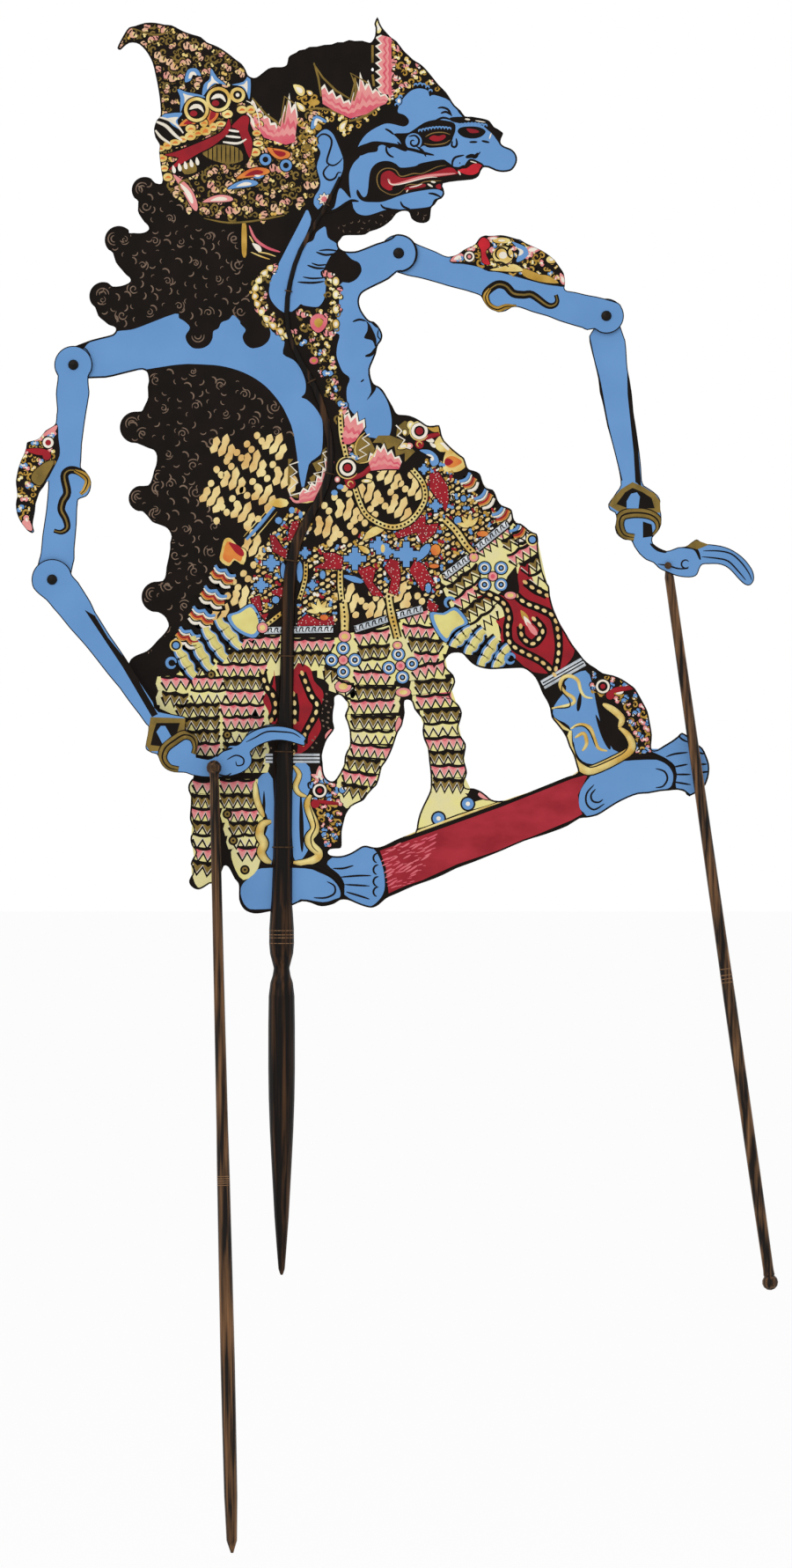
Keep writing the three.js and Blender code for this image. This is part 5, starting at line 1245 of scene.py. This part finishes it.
paint("scallop_ends", [
    *shaded(GOLD, ORANGE,
        [path(-39, 501, -35, 502, -30, 497, -24, 493, -26, 484, -32, 487, -36, 483, -42, 487, -41, 494)],
        lift=0.13, share=0.75),
    (RED, 0.16, [leaf((-36, 499), (-26, 490), 5, 0.6)]),
    *rings([(-72, 429), (171, 501)], (GOLD, 8.6), (INK, 6.6), (BLUE, 4.4), lift=0.15)])
brush("skirt_edges", OLD_GOLD, line_lift, 0.8, [
    path(104, 581, 108, 573, 114, 566, 122, 559, 127, 551, 135, 549, 138, 541, 146, 537, 149, 527, 157, 524,
        160, 515, 168, 511, 172, 506)])
FOLDS = [((-43, 447), (-28, 428)), ((-52, 441), (-38, 420)), ((-61, 435), (-48, 413)),
    ((-71, 428), (-59, 408)), ((129, 440), (117, 428)), ((138, 439), (127, 423)), ((147, 433), (136, 415)),
    ((155, 428), (146, 413))]
CLOTH_CREAM = mottled("cloth_cream_paint", "e6dc8c", "d9cb7a", 60, rough=0.6)
for label, finish, lift, width, shift in (("shade", INK, 0.1, 13.4, 0), ("edge", BLUE, 0.115, 8.6, 0),
    ("light", WHITE, 0.13, 6.2, -0.3), ("cloth", CLOTH_CREAM, 0.145, 5, -0.5)):
    brush("fold_" + label, finish, lift, width, [wave(a, b, 3, 1.0, shift) for a, b in FOLDS], blunt=0.75)
paint("knot_cloths", shaded(BLUE, CLOTH_CREAM, [
    path(-37, 449, -30, 452, -22, 457, -18, 455, -14, 446, -15, 438, -20, 434, -32, 440),
    path(101, 451, 110, 451, 118, 455, 124, 450, 127, 444, 121, 441, 116, 437, 112, 431, 105, 439)],
    lift=0.16, share=0.8))
brush("knot_curls", BLUE, 0.17, 2.2, [
    arc((115, 458), 3.4, 20, 250, 8), arc((-75, 417), 3.2, 0, 330, 8), arc((156, 420), 3.2, 0, 330, 8)])
brush("blue_strip", BLUE, 0.12, 2.6, [path(-24, 501, -15, 511, -5, 523)], blunt=0.7)
brush("blue_strip_edge", GOLD, 0.12, 0.7,
    [path(-26, 503, -17, 513, -7, 524), path(-21, 499, -13, 508, -3, 520)])


# The cloth tails. Each tail hangs in tiers of cream cloth, shaded pink and olive by turns, with a white
# and a black zigzag drawn across every tier and a lobed edge where it hangs over the next.
TAILS = [
    [(89, 410, 112, 414), (91, 400, 116, 402), (92, 390, 118, 392), (97, 380, 122, 382), (97, 371, 123, 373),
        (98, 361, 125, 363), (101, 352, 126, 353), (102, 343, 126, 343), (103, 334, 125, 333)],
    [(49, 407, 74, 407), (50, 397, 78, 396), (47, 387, 77, 388), (47, 377, 78, 376), (46, 367, 76, 366),
        (47, 358, 74, 355), (44, 349, 67, 346), (41, 340, 64, 336), (40, 331, 58, 328)],
    [(-61, 333, -47, 332), (-62, 323, -47, 322), (-62, 314, -47, 313), (-61, 305, -47, 304),
        (-61, 296, -47, 295), (-60, 287, -47, 286), (-61, 278, -47, 276)],
    [(-42, 333, -18, 333), (-42, 323, -18, 323), (-38, 313, -16, 313), (-36, 304, -16, 304),
        (-34, 295, -16, 296), (-30, 287, -17, 287)],
    [(6, 429, 36, 429), (6, 420, 34, 420), (50, 433, 74, 436), (52, 424, 74, 425), (52, 415, 72, 416),
        (82, 439, 104, 437), (86, 430, 110, 428), (90, 420, 107, 419), (28, 411, 38, 408),
        (84, 448, 100, 449)],
    [(-40, 430, -1, 431), (-44, 421, -1, 422), (-44, 412, -10, 412), (-66, 412, -48, 412),
        (36, 402, 48, 398)],
    [(112, 474, 128, 488), (115, 465, 136, 481), (119, 456, 138, 471), (124, 448, 144, 462),
        (130, 439, 148, 452)],
    [(134, 492, 156, 509), (152, 496, 178, 512), (156, 486, 180, 500), (164, 480, 186, 490),
        (170, 472, 188, 480)],
    [(-82, 403, -62, 404), (-82, 393, -64, 391), (-62, 404, -40, 403), (-40, 403, -12, 403),
        (-62, 394, -38, 394), (-38, 394, -12, 394), (-72, 384, -42, 385), (-42, 385, -12, 384),
        (-68, 375, -42, 376), (-40, 376, -12, 376), (-64, 366, -42, 367), (-40, 367, -12, 367),
        (-62, 358, -42, 358), (-40, 358, -12, 358), (-58, 349, -42, 349), (-34, 347, -12, 347)]]
TIER_PITCH = 9.6
TOOTH_WIDTH = 6
LOBE_WIDTH = 11
bases, pink, olive, rose, dark, edges, teeth = [], [], [], [], [], [], []
for tail in TAILS:
    for place, (x1, z1, x2, z2) in enumerate(tail):
        start, end = Vector((x1, z1)), Vector((x2, z2))
        way = (end - start).normalized()
        up = Vector((-way.y, way.x)) * TIER_PITCH / 2
        count = max(2, round((end - start).length / TOOTH_WIDTH))
        left, right = start - way * 2.4, end + way * 2.4
        bases.append([tuple(p) for p in (left + up, right + up, right + way * 1.4, right - up, left - up,
                                         left - way * 1.4)])
        foot = zigzag(tuple(end + up * 0.45), tuple(start + up * 0.45), count, 5.8)
        top = [tuple(start + up * 0.95), tuple(end + up * 0.95)]
        streaks = zigzag(tuple(end + up * 0.8), tuple(start + up * 0.8), count, 2.6)
        tone = (0, 1, 0, 1, 2, 0, 1)[place % 7]
        if tone < 2:
            (pink, olive)[tone].append(top + foot)
            (rose, dark)[tone].append(top + streaks)
        edges.append(
            wave(tuple(start + up), tuple(end + up), max(1, round((end - start).length / LOBE_WIDTH)), 1.2))
        teeth.append(foot)
TIER = mottled("tail_cream_paint", "ece28e", "e5dca6", 40, rough=0.55)
HEM_GROUND = [
    path(-66, 413, -46, 417, -42, 432, -12, 434, 36, 434, 50, 436, 96, 449, 104, 440, 110, 428, 109, 416,
        112, 406, 50, 404, 34, 400, 24, 412, -6, 408, -11, 396, -12, 348, -30, 344, -62, 352, -70, 380,
        -83, 386, -83, 402),
    path(112, 472, 130, 490, 156, 510, 178, 500, 188, 462, 176, 470, 162, 486, 154, 476, 150, 466, 142, 458,
        147, 446, 150, 432, 138, 434, 120, 452)]
paint("tail_tiers", [(TIER, 0.035, HEM_GROUND), (TIER, 0.05, bases), (PINK, 0.065, pink),
    (OLIVE, 0.065, olive), (ROSE, 0.08, rose), (INK, 0.08, dark)], sharp=True)
brush("tail_white_lines", WHITE, 0.095, 0.9, teeth, smoothed=False, blunt=0.8)
brush("tail_black_lines", INK, 0.11, 2.2, [[(x, z - 1.3) for x, z in line] for line in teeth] + edges,
      smoothed=False, blunt=0.8)
paint("tail_ends", [
    (TIER, 0.05, [
        path(103, 329, 124, 329, 128, 322, 138, 324, 146, 322, 120, 314, 92, 304, 95, 314, 99, 324),
        path(40, 327, 56, 329, 52, 322, 44, 318), path(-61, 274, -57, 276, -49, 274, -48, 267, -57, 264),
        path(-33, 291, -16, 291, -16, 277, -26, 269, -33, 280)]),
    *rimmed(PINK,
        [leaf((144, 324), (134, 328), 4), leaf((80, 380), (81, 368), 6), leaf((34, 372), (31, 364), 5)]),
    *shaded(PINK, GOLD, [dot(83, 397, 10, 6), dot(42, 401, 11, 8)]),
    *rings(path(-37, 368, -37, 314, -33, 296, -48, 409, -25, 276), (INK, 6.6), (OLIVE, 4), (INK, 1.6)),
    *rings([(107, 311), (127, 321)], (INK, 10.4), (BLUE, 8), (WHITE, 3))])
dark_stones = [path(28, 396, 34, 394, 35, 384, 33, 372, 27, 376, 26, 386), path(22, 356, 25, 366, 20, 366),
    path(-13, 366, -7, 366, -7, 357, -11, 358)]
fill("dark_stones", CURL, SCATTER, flat(dark_stones), stamp(0.08, shapes=[dot(0, 0, 1.4, 2, 6)]),
    Gap=2.6 * MM, Smallest=0.6, Largest=1.1, Turn=1.6, Seed=9)


# The trousers and ground strip. Red cloth with strings of cream seeds on black, white cuffs below the
# knees, and one long red strip of hide under the feet that ties the two legs together.
TROUSERS = [
    path(131, 461, 140, 464, 150, 463, 158, 461, 162, 466, 161, 476, 163, 484, 168, 487, 170, 478, 174, 468,
        182, 463, 186, 454, 199, 430, 197, 419, 187, 411, 176, 410, 166, 414, 150, 431, 150, 440, 146, 446,
        152, 449, 150, 456, 140, 461),
    path(8, 412, 19, 414, 22, 405, 28, 398, 28, 391, 25, 382, 27, 372, 20, 361, 14, 356, 8, 356),
    path(-5, 412, -3, 378, -8, 377, -9, 384, -13, 393, -6, 402)]
paint("trousers", [(RED, 0.07, TROUSERS)])
SEED_LINES = [path(132, 468, 150, 459, 155, 449, 154, 440, 157, 429, 177, 418, 186, 409),
    path(187, 413, 189, 426, 188, 440, 185, 449, 176, 454, 166, 458, 160, 463),
    path(163, 442, 164, 435, 170, 430, 175, 433, 178, 440, 172, 447), path(166, 472, 173, 467, 181, 463),
    path(14, 410, 20, 395, 24, 389, 23, 382, 16, 369, 15, 362), path(8, 396, 9, 387, 9, 377),
    [(8, 363), (8, 356)], path(-13, 411, -11, 402, -6, 395, -4, 386, -7, 378)]
brush("seed_strings", INK, 0.1, 6.2, SEED_LINES, blunt=0.9)
fill("seeds_on_strings", CREAM, BEADED, as_curve(SEED_LINES), stamp(0.14, shapes=[dot(0, 0, 3.8, 2.4, 7)]),
    Step=5.4 * MM)
paint("seed_leaf", [(OLD_GOLD, 0.13, [leaf((163, 453), (168, 445), 4)]),
    (WHITE, 0.14, [leaf((165, 449), (170, 441), 3.4)]), (PINK, 0.15, [leaf((167, 445), (174, 436), 4)])])
cuffs = [[(8, 352), (26, 352)], [(-11, 352), (-6, 352)], [(178, 402), (206, 418)]]
brush("cuffs", SILVER, 0.1, 6.4, cuffs, smoothed=False, blunt=1.0)
for label, shift in (("low", -1.1), ("high", 1.2)):
    brush("cuff_line_" + label, INK, 0.13, 0.9, [[(x, z + shift) for x, z in line] for line in cuffs],
          smoothed=False, blunt=1.0)
STRIP = mottled("strip_red_paint", "931826", "b02a38", 30, rough=0.5, share=0.5, stretch=(1, 1, 2))
strip_shape = path(67, 289, 150, 319, 198, 338, 209, 341, 202, 327, 203, 319, 205, 314, 198, 310, 150, 290,
    120, 280, 96, 269, 84, 265, 73, 260, 71, 278)
paint("ground_strip", [(STRIP, 0.08, [strip_shape])], sharp=True)
# Small pink marks over the left end of the strip: a painted highlight, broken up into scratches of wear.
fill("strip_wear", ROSE, SCATTER, flat([path(70, 288, 90, 295, 106, 298, 92, 270, 78, 264, 73, 266)]),
    stamp(0.1, shapes=[leaf((-3, 0), (3, 0.6), 1.1)]), Gap=1.9 * MM, Smallest=0.4, Largest=1.2, Turn=0.5,
    Seed=6)
brush("strip_rim", GOLD, line_lift, 1.7, [path(67, 291, 76, 296, 172, 331, 201, 343)])


# The shins and feet. Blue skin framed by curling gold anklets, each with a small clawed head at its back,
# and broad feet with their toes drawn in black.
paint("feet", [
    (BLUE, skin_lift, [
        path(-14, 277, 16, 277, 26, 274, 34, 270, 39, 264, 40, 258, 36, 256, 28, 254, 13, 256, 7, 251,
            -18, 249, -24, 251, -27, 256, -28, 262, -26, 267, -20, 272),
        path(31, 280, 36, 285, 46, 287, 53, 291, 60, 291, 64, 289, 68, 281, 70, 272, 70, 262, 66, 255,
            60, 251, 54, 253, 43, 259, 43, 266, 39, 273),
        path(213, 342, 206, 334, 203, 327, 203, 319, 206, 315, 212, 313, 238, 326, 250, 329, 262, 331,
            266, 334, 267, 342, 263, 348, 256, 351, 232, 350, 222, 347),
        path(251, 358, 260, 361, 268, 366, 272, 370, 276, 372, 280, 364, 286, 360, 290, 353, 292, 344,
            290, 336, 286, 329, 280, 327, 274, 331, 269, 332, 269, 340, 268, 347, 262, 352, 256, 355),
        path(186, 388, 194, 399, 193, 404, 201, 410, 210, 409, 217, 378, 226, 358, 236, 356, 230, 351,
            212, 348, 203, 352, 199, 362, 196, 374, 186, 380),
        path(-16, 338, -6, 338, -6, 284, -10, 284, -12, 296, -9, 309, -14, 322),
        path(8, 346, 19, 346, 19, 330, 16, 324, 19, 312, 20, 298, 16, 286, 8, 285)]),
    (INK, 0.09, [leaf((204, 398), (202, 384), 3), leaf((214, 382), (224, 358), 4),
        leaf((13, 330), (14, 288), 3), leaf((-12, 330), (-12, 314), 2)])])
brush("toe_lines", INK, line_lift, 1.3, [path(31, 268, 36, 265, 36, 260, 30, 257, 22, 257),
    path(35, 277, 42, 277, 49, 279), path(40, 271, 52, 272, 61, 272), [(43, 266), (60, 265)],
    path(44, 261, 54, 258, 60, 256), [2.4, *path(12, 278, 24, 278, 35, 272, 41, 265, 42, 258)],
    *[arc((66, z), 3.4, 90, 250, 6) for z in (284, 276, 268, 261)],
    path(213, 334, 208, 328, 208, 321, 213, 317, 220, 321),
    path(214, 331, 211, 327, 212, 323, 216, 322, 219, 324),
    path(255, 345, 261, 343, 263, 338, 260, 333, 255, 332), path(262, 353, 268, 355, 277, 356),
    [(267, 346), (277, 348)], [(268, 341), (279, 341)], [(267, 336), (279, 334)], [(284, 356), (288, 355)],
    [(284, 348), (290, 348)], [(284, 342), (291, 343)],
    [2.4, *path(232, 351, 248, 354, 262, 350, 268, 342, 267, 333)], path(270, 368, 273, 365, 277, 363)])
anklet_bands = [path(20, 327, 17.5, 320, 23, 305, 19, 298, 20, 293, 25, 288, 24, 284, 16, 281, 8, 281),
    path(-7, 309, -13, 307, -15, 300, -12, 294, -14, 288, -11, 283, -7, 281),
    [0.7, (-18, 336), (-17, 324), (-12, 312)], [0.6, *path(8, 347, 12, 341, 9.5, 333, 12, 328, 17, 326)],
    path(197, 371, 196, 362, 199, 352, 204, 346, 212, 344, 233, 354, 239, 360, 236, 368, 230, 373),
    [0.8, (230, 373), (232, 379), (226, 385), (219, 389)]]
brush("anklet_shade", INK, 0.135, 7.6, anklet_bands)
brush("anklet_gold", GOLD, 0.15, 5.9, anklet_bands)
brush("anklet_tongues", GOLD, line_lift, 2.6, [
    path(184, 386, 198, 389, 199, 393, 193, 397, 190, 402, 192, 407, 197, 408, 202, 405, 204, 398, 207, 394,
        212, 393),
    path(184, 386, 183, 381, 187, 377, 192, 373, 196, 371),
    path(197, 372, 203, 375, 210, 373, 213, 366, 216, 359, 222, 357),
    path(200, 366, 206, 369, 208, 362, 205, 357)])
brush("anklet_dark", INK, top_lift, 0.9, [path(19, 320, 22, 311, 23, 305, 20, 298, 21, 292, 25, 288),
    path(199, 363, 201, 353, 206, 348, 212, 346, 222, 350, 232, 355, 236, 360, 234, 366),
    path(186, 386, 196, 387, 196, 392, 191, 398, 192, 404), path(199, 373, 205, 374, 210, 370, 214, 360)])
CLAWS = [
    path(212, 408, 224, 408, 238, 402, 247, 388, 251, 370, 250, 358, 240, 358, 240, 370, 234, 386, 222, 396,
        213, 399),
    path(22, 337, 34, 336, 40, 328, 40, 316, 38, 297, 28, 294, 26, 318, 22, 326)]
scroll_work("claw_scrolls", CLAWS, OLD_GOLD)
flowers("claw_buds", CLAWS, 5.4, 5, (INK, 1.25), (PINK, 0.95), (WHITE, 0.4))
flowers("claw_stars", CLAWS, 8, 3, (INK, 1.6), (BLUE, 1.3), (WHITE, 0.5), lift=0.11)
paint("claw_heads", [
    *rings([(219, 401), (26, 330)], (INK, 11), (WHITE, 9.4), (INK, 6.6), (RED, 3.4), lift=0.14),
    (WHITE, 0.13, [leaf((228, 396), (233, 398), 3)]),
    (RED, 0.17, [dot(224, 395, 5.6, 6), dot(23, 321, 6, 6), leaf((238, 401), (224, 398), 3)]),
    *shaded(PINK, WHITE, [leaf((20, 341), (30, 337), 4), leaf((26, 347), (26, 337), 5)])])
brush("claw_mouths", RED, 0.16, 2.8, [path(23, 323, 30, 322, 39, 321), path(225, 397, 232, 399, 240, 400)],
    blunt=0.7)


# The arm ornaments. A winged clasp on each upper arm, a black and gold snake armlet below it, two gold
# bracelets at the wrist and a dark edge along the forearm; the fingers are drawn with a fine brush.
SNAKES = [
    ("left_upper_arm", path(-155, 507, -150, 506, -146, 509, -147, 515, -150, 521, -149, 527, -146, 533,
        -148, 544, -145, 548, -140, 548), path(-141, 548, -135, 545, -132, 541, -134, 535, -137, 532)),
    ("right_upper_arm", path(187, 668, 188, 664, 186, 661, 181, 661, 171, 668, 165, 668, 158, 669, 153, 674,
        147, 675, 141, 671), path(142, 672, 139, 667, 141, 661, 147, 658, 153, 660, 160, 660))]
for arm, snake, tail_end in SNAKES:
    for label, finish, lift, width, line in (("snake", INK, 0.1, 5.6, snake + tail_end[1:]),
        ("snake_stripe", OLIVE, 0.13, 1.5, snake), ("snake_head", OLD_GOLD, 0.13, 4.2, tail_end),
        ("snake_mouth", INK, 0.16, 0.9, tail_end)):
        brush(f"{arm}_{label}", finish, lift, width, [line], node=arm, blunt=0.5)
paint("left_clasp_ground", [
    (INK, 0.09, [
        path(-153, 580, -160, 576, -166, 570, -173, 569, -175, 561, -180, 548, -181, 534, -180, 520,
            -176, 512, -170, 506, -168, 524, -154, 552, -151, 560, -152, 570)])], node="left_upper_arm")
paint("right_clasp_ground", [
    (INK, 0.09, [
        path(115, 690, 117, 696, 122, 698, 128, 703, 136, 708, 148, 709, 160, 706, 182, 696, 190, 688,
            193, 680, 193, 674, 188, 674, 176, 676, 150, 683, 141, 684, 134, 687, 124, 689)])],
    node="right_upper_arm")
clasp_grounds = {"left_upper_arm": path(-156, 574, -170, 567, -176, 556, -179, 540, -178, 522, -173, 512,
    -171, 524, -164, 540, -156, 552), "right_upper_arm": path(120, 692, 130, 700, 142, 705, 158, 704,
        176, 696, 188, 686, 186, 678, 166, 682, 134, 690)}
for arm, ground in clasp_grounds.items():
    scroll_work(arm + "_clasp_scrolls", [ground], OLD_GOLD, node=arm, gap=3.8)
    flowers(arm + "_buds", [ground], 5.2, 5, (INK, 1.2), (GOLD, 0.9), (WHITE, 0.4), node=arm)
    flowers(arm + "_clouds", [ground], 10, 8, (INK, 1.5), (PINK, 1.2), (WHITE, 0.5), node=arm, lift=0.11)
    flowers(arm + "_stars", [ground], 12, 1, (INK, 1.5), (BLUE, 1.2), (WHITE, 0.5), node=arm, lift=0.11)
paint("left_clasp", [
    *rimmed(PINK,
        [path(-153, 579, -160, 575, -163, 571, -157, 573, -154, 575), leaf((-170, 507), (-176, 514), 5.6)]),
    *rings([(-159, 567)], (INK, 9), (WHITE, 7.4), (RED, 4), lift=0.14),
    *rimmed(RED, [leaf((-175, 562), (-158, 560), 4.6), dot(-160, 558, 5.6, 6)], lift=0.14),
    *rimmed(OLIVE, [path(-155, 554, -160, 554, -169, 547, -170, 541, -164, 538, -159, 546)], lift=0.14)],
    node="left_upper_arm")
paint("right_clasp", [
    *shaded(PINK, WHITE, [leaf((115, 691), (124, 695), 5), leaf((178, 700), (166, 698), 5),
        leaf((190, 683), (193, 675), 4), leaf((150, 707), (140, 706), 3)]),
    *shaded(GOLD, WHITE, [dot(151, 695, 14, 12), dot(184, 692, 7, 5), dot(150, 705, 12, 4)], lift=0.14,
        share=0.4),
    *rings([(128, 694)], (INK, 8.4), (WHITE, 7), (INK, 4.4), (PINK, 2.4), lift=0.14),
    *rimmed(BRIGHT_RED,
        [path(134, 703, 137, 707, 141, 705, 142, 701, 139, 697, 142, 689, 137, 690, 136, 698)], lift=0.16),
    *shaded(BLUE, WHITE, [path(157, 704, 161, 703, 167, 700, 168, 695, 163, 691, 160, 691, 162, 698)],
        lift=0.14, share=0.4),
    *rimmed(OLD_GOLD, [path(165, 686, 176, 682, 182, 681, 189, 676, 176, 677, 165, 681)], lift=0.14),
    *rimmed(GOLD, [path(142, 685, 150, 687, 158, 689, 164, 686, 163, 684, 152, 684)], lift=0.14)],
    node="right_upper_arm")
brush("right_clasp_lines", INK, 0.2, 1.3,
    [arc((150, 696), 4, 0, 250, 8), path(144, 690, 150, 690, 155, 687), arc((158, 697), 4, 100, 260, 6)],
    node="right_upper_arm")
paint("left_bracelets", [
    (INK, 0.08,
        [path(-134, 453, -127, 449, -118, 434, -104, 419, -84, 382, -88, 380, -108, 414, -130, 447)]),
    (OLIVE, 0.1, [path(-89, 380, -64, 380, -66, 370, -80, 357, -90, 356, -93, 361, -91, 372)]),
    (INK, 0.13, [path(-85, 376, -69, 376, -71, 369, -81, 360, -89, 361, -87, 370)]),
    (BLUE, 0.16, [path(-85, 370, -82, 374, -79, 374, -75, 367, -81, 362)])], node="left_forearm", sharp=True)
paint("right_bracelets", [
    (INK, 0.08, [path(236, 618, 239, 610, 241, 590, 244, 570, 245, 537, 241, 540, 240, 560, 236, 600),
        path(246, 513, 252, 511, 254, 502, 246, 502)]),
    (OLIVE, 0.1, [
        path(231, 535, 239, 540, 246, 537, 254, 532, 258, 527, 258, 519, 240, 519, 229, 520, 223, 524,
            225, 529)]),
    (INK, 0.13, [path(234, 533, 239, 536, 246, 533, 252, 529, 254, 522, 236, 522, 228, 525)]),
    (BLUE, 0.16, [path(235, 527, 238, 532, 242, 533, 244, 530, 243, 522, 235, 522)]),
    (OLIVE, 0.1, [path(275, 497, 282, 501, 291, 498, 283, 494)])], node="right_forearm", sharp=True)
BRACELETS = [
    ("left_forearm",
        path(-70, 344, -77, 346, -81, 352, -79, 359, -73, 364, -66, 368, -60, 366, -58, 360, -59, 355)),
    ("right_forearm",
        path(240, 502, 233, 504, 230, 511, 232, 517, 240, 519, 250, 518, 256, 514, 257, 508, 254, 503))]
for arm, ring in BRACELETS:
    brush(arm + "_bracelet_shade", INK, 0.12, 7.4, [ring], node=arm, blunt=0.7)
    brush(arm + "_bracelet", OLIVE, 0.135, 5.8, [ring], node=arm, blunt=0.7)
    brush(arm + "_bracelet_line", INK, 0.155, 1.2, [ring], node=arm)
brush("left_fingers", INK, 0.1, 1.1, [path(-25, 366, -20, 370, -12, 373, -2, 374, 8, 372, 14, 368),
    path(-24, 363, -18, 366, -10, 370, 0, 370, 8, 369, 13, 366),
    path(-37, 351, -31, 354, -26, 352, -26, 348, -30, 347, -31, 350), path(-47, 342, -38, 340, -34, 342),
    [1.6, (-44, 353), (-40, 357), (-33, 359)]], node="left_forearm")
brush("right_fingers", INK, 0.1, 1.1, [path(256, 484, 263, 483, 270, 481, 277, 481),
    [2.4, *path(261, 493, 268, 496, 276, 496, 282, 494, 285, 487)],
    path(287, 493, 297, 493, 306, 491, 313, 485, 318, 478, 320, 473),
    path(286, 489, 296, 488, 304, 486, 311, 479, 316, 473), arc((275, 484), 2.8, 40, 320, 7),
    [2, (251, 498), (256, 494), (262, 492)],
    [1.6, *path(210, 640, 213, 624, 217, 608, 222, 580, 229, 552, 232, 541)]], node="right_forearm")


# The rods, rivets and ties. The rods are turned from buffalo horn, nearly black with brown streaks along
# their length, partly the horn's grain and partly painted highlight, and ringed with fine grooves; dark
# rivets hold the joints, cord ties the hands and thread the hide.
# The brown streaks of both horn finishes are partly grain and partly painted highlight standing in for the shine
# along the rods.
MAIN_ROD_STREAKS_AND_HIGHLIGHT = mottled("dark_horn", "0f0a08", "5a3d26", 9, rough=0.42, bump=0.1, stretch=(34, 34, 0.8), share=0.64,
    shine=0.12)
ARM_ROD_STREAKS_AND_HIGHLIGHT = mottled("streaked_horn", "120c09", "86603f", 9, rough=0.42, bump=0.1, stretch=(44, 44, 1.6),
    share=0.56, shine=0.15)
RIVET = mottled("black_rivet_horn", "0c0a08", "1d1510", 200, rough=0.32, shine=0.12)
CORD = mottled("dark_cord", "3a2a1c", "57402a", 400, rough=0.9)
LOOKS = (("main_rod", MAIN_ROD_STREAKS_AND_HIGHLIGHT), ("arm_rod", ARM_ROD_STREAKS_AND_HIGHLIGHT), ("rivet", RIVET), ("", CORD))
SHARP_ANGLE = math.radians(40)
for node in frame["nodes"]:
    if node in SHEETS:
        continue
    cad = frame["nodes"][node]
    finish = next(look for word, look in LOOKS if word in node)
    cad.data.materials.clear()
    cad.data.materials.append(finish)
    if finish is not CORD:
        cad.data.polygons.foreach_set("use_smooth", [True] * len(cad.data.polygons))
        cad.data.set_sharp_from_angle(angle=SHARP_ANGLE)


def rod_spot(node, height):
    """The middle and radius of a rod at a height, found by feeling for its sides."""
    low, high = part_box(node)
    solid = bmesh.new()
    solid.from_mesh(frame["nodes"][node].data)
    skin = BVHTree.FromBMesh(solid)
    solid.free()
    depth = (low[1] + high[1]) / 2
    left = skin.ray_cast(Vector((low[0] - MM, depth, height)), Vector((1, 0, 0)))[0].x
    right = skin.ray_cast(Vector((high[0] + MM, depth, height)), Vector((-1, 0, 0)))[0].x
    return Vector(((left + right) / 2, depth, height)), (right - left) / 2


def groove_rings(name, node, heights, wide, finish):
    """Thin worn rings that stand on a rod at the given heights, square to its length."""
    mesh = bmesh.new()
    steps = 32
    turns = [math.tau * i / steps for i in range(steps)]
    for height in heights:
        middle, radius = rod_spot(node, height * MM)
        beyond, _ = rod_spot(node, (height + 5) * MM)
        turn = Vector((0, 0, 1)).rotation_difference(beyond - middle)
        rows = []
        for reach, lift in ((-0.3, 0.5), (0.12, 0.35), (0.12, -0.35), (-0.3, -0.5)):
            out = radius + reach * MM
            ring = [Vector((out * math.cos(a), out * math.sin(a), lift * wide * MM)) for a in turns]
            rows.append([mesh.verts.new(middle + turn @ spot) for spot in ring])
        for a, b in zip(rows, rows[1:] + rows[:1]):
            for i in range(steps):
                k = (i + 1) % steps
                mesh.faces.new((a[i], b[i], b[k], a[k]))
    bmesh.ops.recalc_face_normals(mesh, faces=mesh.faces)
    return finish_piece(mesh, name, BODY_OF[node], [finish])


RUBBED = mottled("rubbed_horn", "7a5637", "a87e57", 300, rough=0.4, shine=0.3)
groove_rings("handle_rings", "main_rod", (226, 229.8, 231.8, 234.7), 0.5, RUBBED)
groove_rings("left_rod_rings", "left_arm_rod", (68, 66.5, 65, 63.5, 62), 0.5, RUBBED)
groove_rings("right_rod_rings", "right_arm_rod", (208.6, 204.5, 202, 199.5), 0.6, RUBBED)
